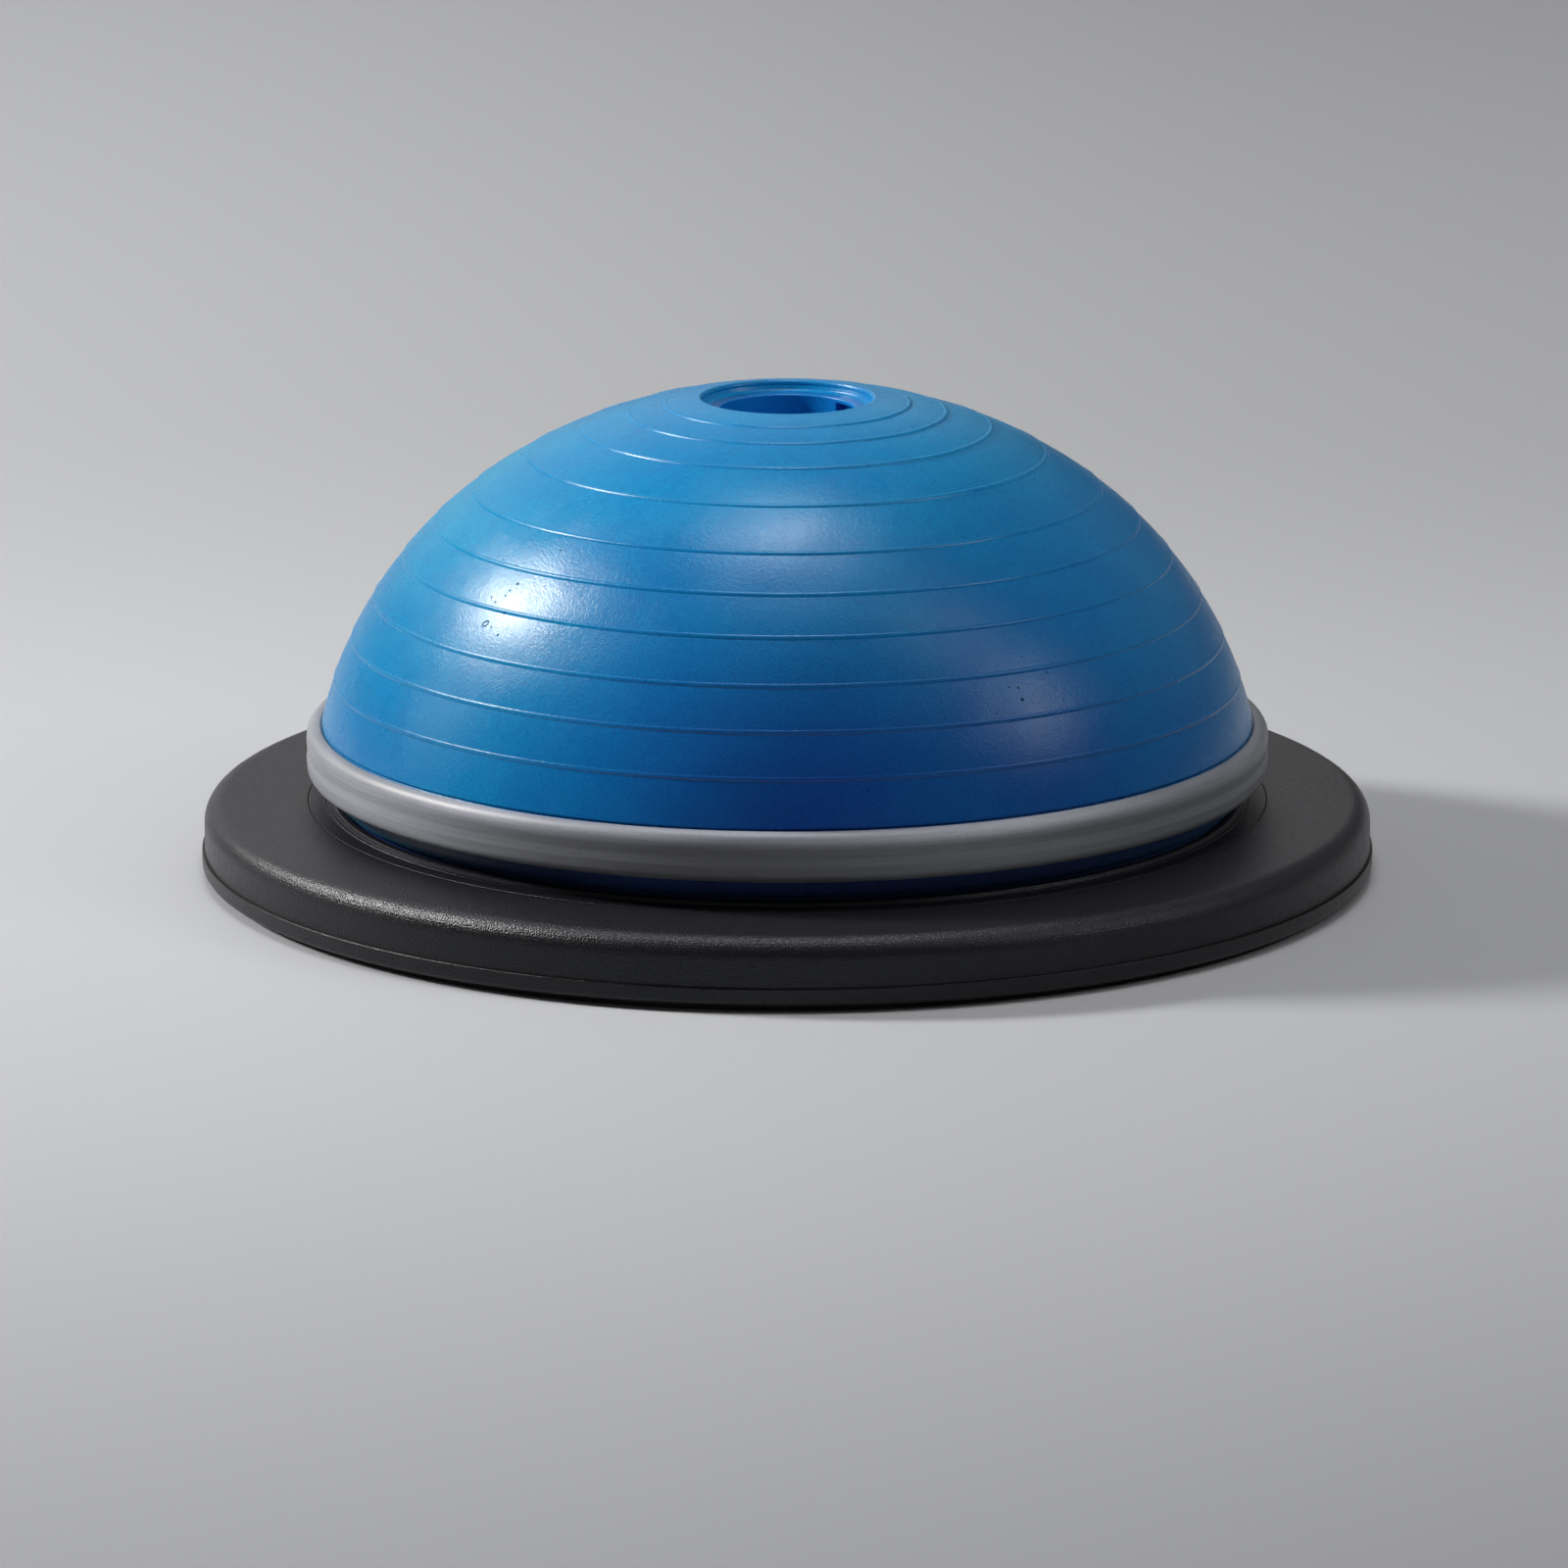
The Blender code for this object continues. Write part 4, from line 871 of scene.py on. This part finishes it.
def make_retaining_ring():
    """Flush ring with a raised bead and a fine step outside the bead."""
    top, foot, flange_seat = PLATFORM_HEIGHT, DECK_TOP + GAP, FLANGE_TOP + GAP
    bead, bead_top = RING_INNER + 0.0045, PLATFORM_HEIGHT + 0.0024
    outline = rounded([
        (RING_OUTER, top, 0.0003), (RING_OUTER, foot, 0.0004),
        (FLANGE_RADIUS + GAP, foot, 0.0003), (FLANGE_RADIUS + GAP, flange_seat, 0.0003),
        (RING_INNER, flange_seat, 0.0004), (RING_INNER, top, 0.0006),
        (bead - 0.0028, top, 0.0004), (bead - 0.0020, bead_top, 0.0012),
        (bead + 0.0020, bead_top, 0.0012), (bead + 0.0028, top, 0.0004),
        (bead + 0.0046, top, 0.0003), (bead + 0.0050, top - 0.0005, 0.0002),
        (bead + 0.0055, top - 0.0005, 0.0002), (bead + 0.0058, top + 0.0002, 0.0002),
        (bead + 0.0064, top, 0.0003),
    ])
    turned("clamp_ring", outline, ROUND, PLASTIC, "trainer", ("retaining_ring",))


def grip_boxes():
    """Housings of the two hand grips and the pockets that are cut into them."""
    place = PLATFORM_RADIUS - GRIP_EDGE_DISTANCE
    housing = (GRIP_WIDTH + 2 * GRIP_WALL, GRIP_LENGTH + 2 * GRIP_WALL, 0.020)
    pocket = (GRIP_WIDTH, GRIP_LENGTH, 0.040)
    housings, pockets = [], []
    for azimuth in (0.0, math.pi):
        housings.append(rounded_box(
            "housing", housing, (place, 0.0, BASE_BOTTOM + 0.0130), azimuth, 0.011))
        pockets.append(rounded_box(
            "pocket", pocket, (place, 0.0, BASE_BOTTOM - GAP), azimuth, 0.008, 0.0025))
    return housings, pockets


def screw_holes():
    """A clearance hole and a wider hole for the head at each screw."""
    holes = []
    for x, y in around(SCREW_COUNT, SCREW_CIRCLE, math.pi / SCREW_COUNT):
        for radius, top in (
            (SCREW_RADIUS + GAP, BASE_TOP + 0.0010), (SCREW_HEAD_RADIUS + GAP, SCREW_SEAT + GAP),
        ):
            holes.append(upright_hole(x, y, radius, BASE_BOTTOM - 0.0010, top, HOLE_ROUND))
    return holes


def make_platform_base():
    spigot, spigot_top = PLATFORM_RADIUS - SHELL_WALL - GAP, LIP_TOP + SPIGOT_HEIGHT
    rib_top = DECK_BOTTOM - GAP
    foot_out, foot_in = FOOT_RADIUS + GAP, FOOT_RADIUS - FOOT_WIDTH - GAP
    seat = BASE_BOTTOM + FOOT_SEAT
    corners = [(0.0, BASE_TOP)]
    for radius in FLOOR_RIB_CIRCLES:
        outer = radius + FLOOR_RIB_WALL
        corners += [(radius, BASE_TOP), (radius, rib_top), (outer, rib_top), (outer, BASE_TOP)]
    corners += [
        (spigot - SPIGOT_WALL, BASE_TOP), (spigot - SPIGOT_WALL, spigot_top), (spigot, spigot_top),
        (spigot, LIP_TOP), (LIP_RADIUS, LIP_TOP, 0.0006), (LIP_RADIUS, BASE_BOTTOM, 0.0030),
        (foot_out, BASE_BOTTOM, 0.0003), (foot_out, seat), (foot_in, seat),
        (foot_in, BASE_BOTTOM, 0.0003), (0.0, BASE_BOTTOM),
    ]
    housings, pockets = grip_boxes()
    mesh = turned_mesh("platform_base_shell", rounded(corners, closed=False), ROUND)
    mesh = combined(mesh, housings, "UNION")
    mesh = combined(mesh, pockets + screw_holes())
    piece("platform_tray", mesh, PLASTIC, "trainer", ("platform_base",))


def make_foot():
    inner, top = FOOT_RADIUS - FOOT_WIDTH, BASE_BOTTOM + FOOT_SEAT - GAP
    outline = rounded([
        (FOOT_RADIUS, top, 0.0003), (FOOT_RADIUS, 0.0, 0.0010), (inner, 0.0, 0.0010), (inner, top, 0.0003),
    ])
    turned("foot", outline, ROUND, FOOT, "trainer", ("foot_ring",))


# Screws
def screw_mesh():
    """Pan head with a cross recess, its head's underside at height 0."""
    radius, length = SCREW_RADIUS, SCREW_LENGTH
    head, height = SCREW_HEAD_RADIUS, SCREW_HEAD_HEIGHT
    outline = [(0.0, length)] + rounded([
        (radius / 2, length), (radius, length - radius), (radius, 0.0), (head, 0.0, 0.0002),
        (head, -height * 0.45, 0.0004), (head * 0.80, -height, 0.0006), (head * 0.4, -height),
    ], closed=False) + [(0.0, -height)]
    bar = (head * 1.15, head * 0.22, height * 1.3)
    bars = [rounded_box("bar", bar, (0.0, 0.0, -height), turn) for turn in (0.0, math.pi / 2)]
    return combined(turned_mesh("shell_screw_form", outline, SCREW_ROUND), bars)


def make_screws():
    """The same screw at each place, each driven home at a different turn."""
    form = screw_mesh()
    for number, (x, y) in enumerate(around(SCREW_COUNT, SCREW_CIRCLE, math.pi / SCREW_COUNT), 1):
        mesh = form.copy()
        mesh.transform(Matrix.Translation((x, y, SCREW_SEAT)) @ Matrix.Rotation(number * 1.1, 4, "Z"))
        stands_for = (f"shell_screw_{number}",)
        piece(f"shell_screw_fine_{number}", mesh, STEEL, "trainer", stands_for)


# Port, cup and valve
def make_port():
    outer = PORT_RADIUS - GAP
    lip, rim = outer - PORT_LIP, RIM_HEIGHT + 0.0001
    sleeve = BORE_RADIUS + BORE_WALL
    flange_top = dome_point(angle_at_radius(PORT_RADIUS), -WALL - GAP)[1]
    edge, edge_top = dome_point(angle_at_radius(PORT_FLANGE_RADIUS), -WALL - GAP)
    outline = rounded([
        (outer - 0.0006, rim - 0.0020, 0.0003), (outer, flange_top), (edge, edge_top, 0.0004),
        (edge, edge_top - PORT_FLANGE_THICKNESS, 0.0004),
        (outer, flange_top - PORT_FLANGE_THICKNESS, 0.0010),
        (sleeve, SHELF_INNER - SHELF_THICKNESS, 0.0010), (sleeve, BORE_BOTTOM, 0.0004),
        (BORE_RADIUS, BORE_BOTTOM, 0.0004), (BORE_RADIUS, SHELF_INNER, 0.0009),
        (lip - 0.0012, RIM_HEIGHT - SHELF_DEPTH, 0.0016),
        (lip + 0.0003, rim - 0.0022, 0.0004), (lip + 0.0009, rim - 0.0020, 0.0002),
    ])
    reach = BORE_RADIUS + POCKET_DEPTH
    size = (reach - BORE_RADIUS / 2, POCKET_WIDTH, POCKET_HEIGHT)
    centre = (reach - size[0] / 2, 0.0, SHELF_INNER - POCKET_DROP - POCKET_HEIGHT / 2)
    pockets = []
    for number in range(POCKET_COUNT):
        turn = POCKET_AZIMUTH + 2 * math.pi * number / POCKET_COUNT
        pockets.append(rounded_box("pocket", size, centre, turn))
    mesh = combined(turned_mesh("port_fine", outline, PORT_ROUND), pockets)
    piece("port", mesh, VINYL, "port", ("port_collar",))


def make_cup():
    sleeve = BORE_RADIUS + BORE_WALL + GAP
    sleeve_outer = sleeve + SLEEVE_WALL
    joint = BORE_BOTTOM - GAP
    outer, bottom = BORE_RADIUS + CUP_WALL, WELL_FLOOR - CUP_FLOOR
    hole = VALVE_BARREL_RADIUS + GAP
    outline = rounded([
        (sleeve_outer, joint + SLEEVE_LENGTH, 0.0004), (sleeve_outer, joint, 0.0006),
        (outer, joint - 0.0044, 0.0010), (outer, bottom, 0.0040), (hole, bottom, 0.0004),
        (hole, WELL_FLOOR, 0.0003), (BORE_RADIUS, WELL_FLOOR, 0.0045), (BORE_RADIUS, joint, 0.0003),
        (sleeve, joint, 0.0003), (sleeve, joint + SLEEVE_LENGTH, 0.0004),
    ])
    turned("cup", outline, PORT_ROUND, VINYL, "port", ("well_cup",))


def make_valve():
    """Flanged barrel with a web that guides the pin and lets the air through four holes."""
    flange, barrel, bore = VALVE_FLANGE_RADIUS, VALVE_BARREL_RADIUS, VALVE_BORE_RADIUS
    flange_bottom = VALVE_TOP - VALVE_FLANGE_THICKNESS
    outline = rounded([
        (flange, VALVE_TOP, 0.0008), (flange, flange_bottom, 0.0003),
        (barrel, flange_bottom), (barrel, VALVE_BOTTOM, 0.0005),
        (VALVE_SEAT_RADIUS, VALVE_BOTTOM, 0.0004), (VALVE_SEAT_RADIUS, WEB_BOTTOM, 0.0004),
        (GUIDE_RADIUS, WEB_BOTTOM, 0.0002), (GUIDE_RADIUS, WEB_TOP, 0.0003),
        (bore, WEB_TOP, 0.0004), (bore, VALVE_TOP, 0.0006),
    ])
    holes = []
    for x, y in around(FLOW_HOLE_COUNT, FLOW_HOLE_CIRCLE):
        holes.append(upright_hole(x, y, FLOW_HOLE_RADIUS, WEB_BOTTOM - 0.001, WEB_TOP + 0.001, 24))
    mesh = combined(turned_mesh("valve_fine", outline, SMALL_ROUND), holes)
    piece("valve", mesh, VALVE_DARK, "port", ("valve_body",))


def make_pin():
    """Stem with the disc that closes the valve from below."""
    top = BUTTON_BOTTOM + BUTTON_SOCKET - GAP
    disc = VALVE_BOTTOM - GAP - POPPET_SEAL_THICKNESS - GAP
    bottom = disc - POPPET_THICKNESS
    outline = [(0.0, top)] + rounded([
        (0.0020, top), (PIN_RADIUS, top, 0.0003), (PIN_RADIUS, disc, 0.0004),
        (POPPET_RADIUS, disc, 0.0003), (POPPET_RADIUS, bottom, 0.0004), (0.0050, bottom),
    ], closed=False) + [(0.0, bottom)]
    turned("pin", outline, SMALL_ROUND, VALVE_DARK, "valve_pin", ("valve_stem",))


def make_button():
    """Dished button with a socket for the pin."""
    dish, socket_top = BUTTON_TOP - BUTTON_DISH, BUTTON_BOTTOM + BUTTON_SOCKET
    outline = [(0.0, dish)] + rounded([
        (0.0012, dish), (0.0038, BUTTON_TOP - 0.0003, 0.0008), (0.0046, BUTTON_TOP, 0.0006),
        (BUTTON_RADIUS, dish, 0.0006), (BUTTON_RADIUS, BUTTON_BOTTOM, 0.0003),
        (GUIDE_RADIUS, BUTTON_BOTTOM, 0.0002), (GUIDE_RADIUS, socket_top), (0.0010, socket_top),
    ], closed=False) + [(0.0, socket_top)]
    turned("button", outline, SMALL_ROUND, CAP_BLUE, "valve_pin", ("stem_button",))


def make_spring(bottom, top):
    """A coil of round wire between the web and the button."""
    mesh_maker = bmesh.new()
    steps = COIL_TURNS * COIL_STEPS
    rings = []
    for step in range(steps + 1):
        share = step / steps
        turn = 2 * math.pi * COIL_TURNS * share
        height = bottom + WIRE_RADIUS + (top - bottom - 2 * WIRE_RADIUS) * share
        ring = []
        for corner in range(WIRE_SIDES):
            angle = 2 * math.pi * corner / WIRE_SIDES
            radius = COIL_RADIUS + WIRE_RADIUS * math.cos(angle)
            ring.append(mesh_maker.verts.new((
                radius * math.cos(turn), radius * math.sin(turn), height + WIRE_RADIUS * math.sin(angle),
            )))
        rings.append(ring)
    for one, two in zip(rings, rings[1:]):
        for corner in range(WIRE_SIDES):
            after = (corner + 1) % WIRE_SIDES
            mesh_maker.faces.new((one[corner], two[corner], two[after], one[after]))
    mesh_maker.faces.new(rings[0])
    mesh_maker.faces.new(list(reversed(rings[-1])))
    bmesh.ops.recalc_face_normals(mesh_maker, faces=mesh_maker.faces)
    mesh = bpy.data.meshes.new("spring")
    mesh_maker.to_mesh(mesh)
    mesh_maker.free()
    spring = piece("spring", mesh, STEEL, None, ("valve_spring",))
    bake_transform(spring)


def make_cap():
    """Cap with a bar to pinch, a skirt that enters the valve, and a flat ring under it."""
    seal_bottom = VALVE_TOP + GAP
    seal_top = seal_bottom + CAP_SEAL_THICKNESS
    bottom = seal_top + GAP
    top = bottom + CAP_THICKNESS
    skirt, skirt_bottom = VALVE_BORE_RADIUS - GAP, VALVE_TOP - CAP_SKIRT_LENGTH
    skirt_inner = skirt - CAP_SKIRT_WALL
    outline = [(0.0, top)] + rounded([
        (0.0130, top), (0.0150, top - 0.0001, 0.0010), (CAP_RADIUS, top - CAP_CROWN, 0.0007),
        (CAP_RADIUS, bottom, 0.0003), (skirt, bottom, 0.0003), (skirt, skirt_bottom, 0.0005),
        (skirt_inner, skirt_bottom, 0.0004), (skirt_inner, bottom, 0.0005), (0.0030, bottom),
    ], closed=False) + [(0.0, bottom)]
    bar_centre = (0.0, 0.0, top + CAP_BAR[2] / 2 - CAP_BAR_SINK)
    bar = rounded_box("bar", CAP_BAR, bar_centre, 0.0, 0.0016, 0.0006)
    mesh = combined(turned_mesh("cap_fine", outline, SMALL_ROUND), [bar], "UNION")
    piece("cap", mesh, CAP_BLUE, "cap", ("valve_cap",))
    seal, seal_inner = CAP_SEAL_RADIUS, CAP_SEAL_RADIUS - CAP_SEAL_WIDTH
    outline = rounded([
        (seal, seal_top, 0.0003), (seal, seal_bottom, 0.0003),
        (seal_inner, seal_bottom, 0.0003), (seal_inner, seal_top, 0.0003),
    ])
    turned("cap_washer", outline, SMALL_ROUND, FOOT, "cap", ("cap_seal",))


make_dome()
make_bladder_floor()
make_band()
make_platform_top()
make_retaining_ring()
make_platform_base()
make_foot()
make_screws()
make_port()
make_cup()
make_valve()
make_pin()
make_button()
make_spring(WEB_TOP + GAP, BUTTON_BOTTOM - GAP)
make_cap()


# Floor, backdrop and light
FLOOR_RADIUS = 40.0
WHITE = (1.0, 1.0, 1.0)
LAMP_AIM = Vector((0.0, 0.0, 0.12))
WORLD_DIM = 0.045
# Glows of the room: azimuth, elevation, where the glow starts (cosine) and strength
GLOWS = ((105, 22, 0.85, 0.50), (45, 30, 0.75, 0.11), (-90, 45, 0.55, 0.05))


def make_floor():
    """A seamless pale sweep with painted light: a broad painted pool of light round the object, lighter to
    the back and to the left.
    """
    paint = Paint("floor_paper", Specular_IOR_Level=0.15)
    # Painted light: a broad pool round the object, lighter to the back and darker to the right.
    painted_pool_x, painted_pool_y, reach_x, reach_y = -0.25, -0.47, 2.60, 1.80
    spread = paint.scaled((1 / reach_x, 1 / reach_y, 0.0))
    away = paint.distance((painted_pool_x / reach_x, painted_pool_y / reach_y, 0.0), spread)
    level = paint.sum("ADD", paint.between(away, 0.0, 1.0, 0.45, 0.0), 0.71)
    level = paint.sum("ADD", level, paint.between(paint.along("Y"), -1.30, 0.60, 0.0, 0.51))
    level = paint.sum("ADD", level, paint.between(paint.along("X"), -0.70, 0.70, 0.0, -0.23))
    tone = paint.mixed(paint.noise(900.0, 2.0), (0.448, 0.452, 0.465), (0.458, 0.462, 0.475))
    paint.colour(paint.tinted(1.0, tone, level))
    paint.rough(paint.between(paint.noise(300.0, 2.0), 0.3, 0.7, 0.86, 0.94))
    outline = [(0.0, 0.0)] + [(FLOOR_RADIUS * 0.72 ** k, 0.0) for k in range(13, -1, -1)]
    mesh = turned_mesh("floor", outline, 128, closed=False)
    piece("floor", mesh, paint.material, None)


def towards(azimuth, elevation):
    """Direction of an azimuth and an elevation in degrees."""
    turn, rise = math.radians(azimuth), math.radians(elevation)
    return Vector((math.cos(turn) * math.cos(rise), math.sin(turn) * math.cos(rise), math.sin(rise)))


def lamp(name, azimuth, elevation, distance, size, power, glossy=True, diffuse=True, colour=WHITE):
    """Soft oval lamp. One that isn't glossy leaves no reflection; one that isn't diffuse gives only that."""
    data = bpy.data.lights.new(name, "AREA")
    data.shape = "ELLIPSE"
    data.size, data.size_y = size
    data.energy = power
    data.color = colour
    made = placed(name, data)
    offset = towards(azimuth, elevation)
    made.location = LAMP_AIM + offset * distance
    made.rotation_euler = offset.to_track_quat("Z", "Y").to_euler()
    made.visible_glossy = glossy
    made.visible_diffuse = diffuse


def make_world():
    """A dim studio room with a pale wall behind the object and a faint glow from the front."""
    world = bpy.data.worlds.new("studio")
    bpy.context.scene.world = world
    world.use_nodes = True
    nodes, links = world.node_tree.nodes, world.node_tree.links
    direction = nodes.new("ShaderNodeTexCoord")
    total = None
    for azimuth, elevation, reach, strength in GLOWS:
        facing = nodes.new("ShaderNodeVectorMath")
        facing.operation = "DOT_PRODUCT"
        facing.inputs[1].default_value = towards(azimuth, elevation)
        fade = nodes.new("ShaderNodeMapRange")
        fade.interpolation_type = "SMOOTHSTEP"
        for key, value in (("From Min", reach), ("From Max", 1.0), ("To Min", 0.0), ("To Max", strength)):
            fade.inputs[key].default_value = value
        links.new(direction.outputs["Generated"], facing.inputs[0])
        links.new(facing.outputs["Value"], fade.inputs["Value"])
        added = nodes.new("ShaderNodeMath")
        added.inputs[1].default_value = WORLD_DIM
        links.new(fade.outputs["Result"], added.inputs[0])
        if total is not None:
            links.new(total, added.inputs[1])
        total = added.outputs["Value"]
    links.new(total, nodes["Background"].inputs["Strength"])
    nodes["Background"].inputs["Color"].default_value = (1.0, 1.0, 1.01, 1.0)


def make_camera():
    """A long lens from the front, a little above the object."""
    data = bpy.data.cameras.new("camera")
    data.sensor_width = 36.0
    data.lens = 209.4
    data.shift_x = -0.0021
    data.clip_start, data.clip_end = 0.1, 100.0
    camera = placed("camera", data)
    camera.location = (0.0, -4.909, 1.240)
    camera.rotation_euler = (math.radians(90 - 13.683), 0.0, 0.0)
    bpy.context.scene.camera = camera


make_floor()
make_world()
lamp("key", 168.5, 27.6, 8.0, (1.25, 1.25), 565.0, glossy=False)
lamp("left_box", 161.0, 40.5, 7.0, (1.80, 1.70), 600.0, diffuse=False, colour=(1.0, 0.95, 0.89))
lamp("left_glow", 168.0, 17.0, 7.0, (1.9, 2.4), 26.0)
lamp("top_box", 95.0, 80.0, 6.0, (1.9, 1.9), 92.0, diffuse=False)
lamp("overhead", -90.0, 84.0, 6.0, (3.0, 3.0), 112.0, glossy=False)
lamp("right_box", -17.0, 32.0, 7.0, (1.9, 2.4), 52.0)
lamp("right_strip", -18.0, 56.0, 7.0, (2.2, 4.4), 33.0)
make_camera()
bpy.context.scene.view_settings.view_transform = "Standard"
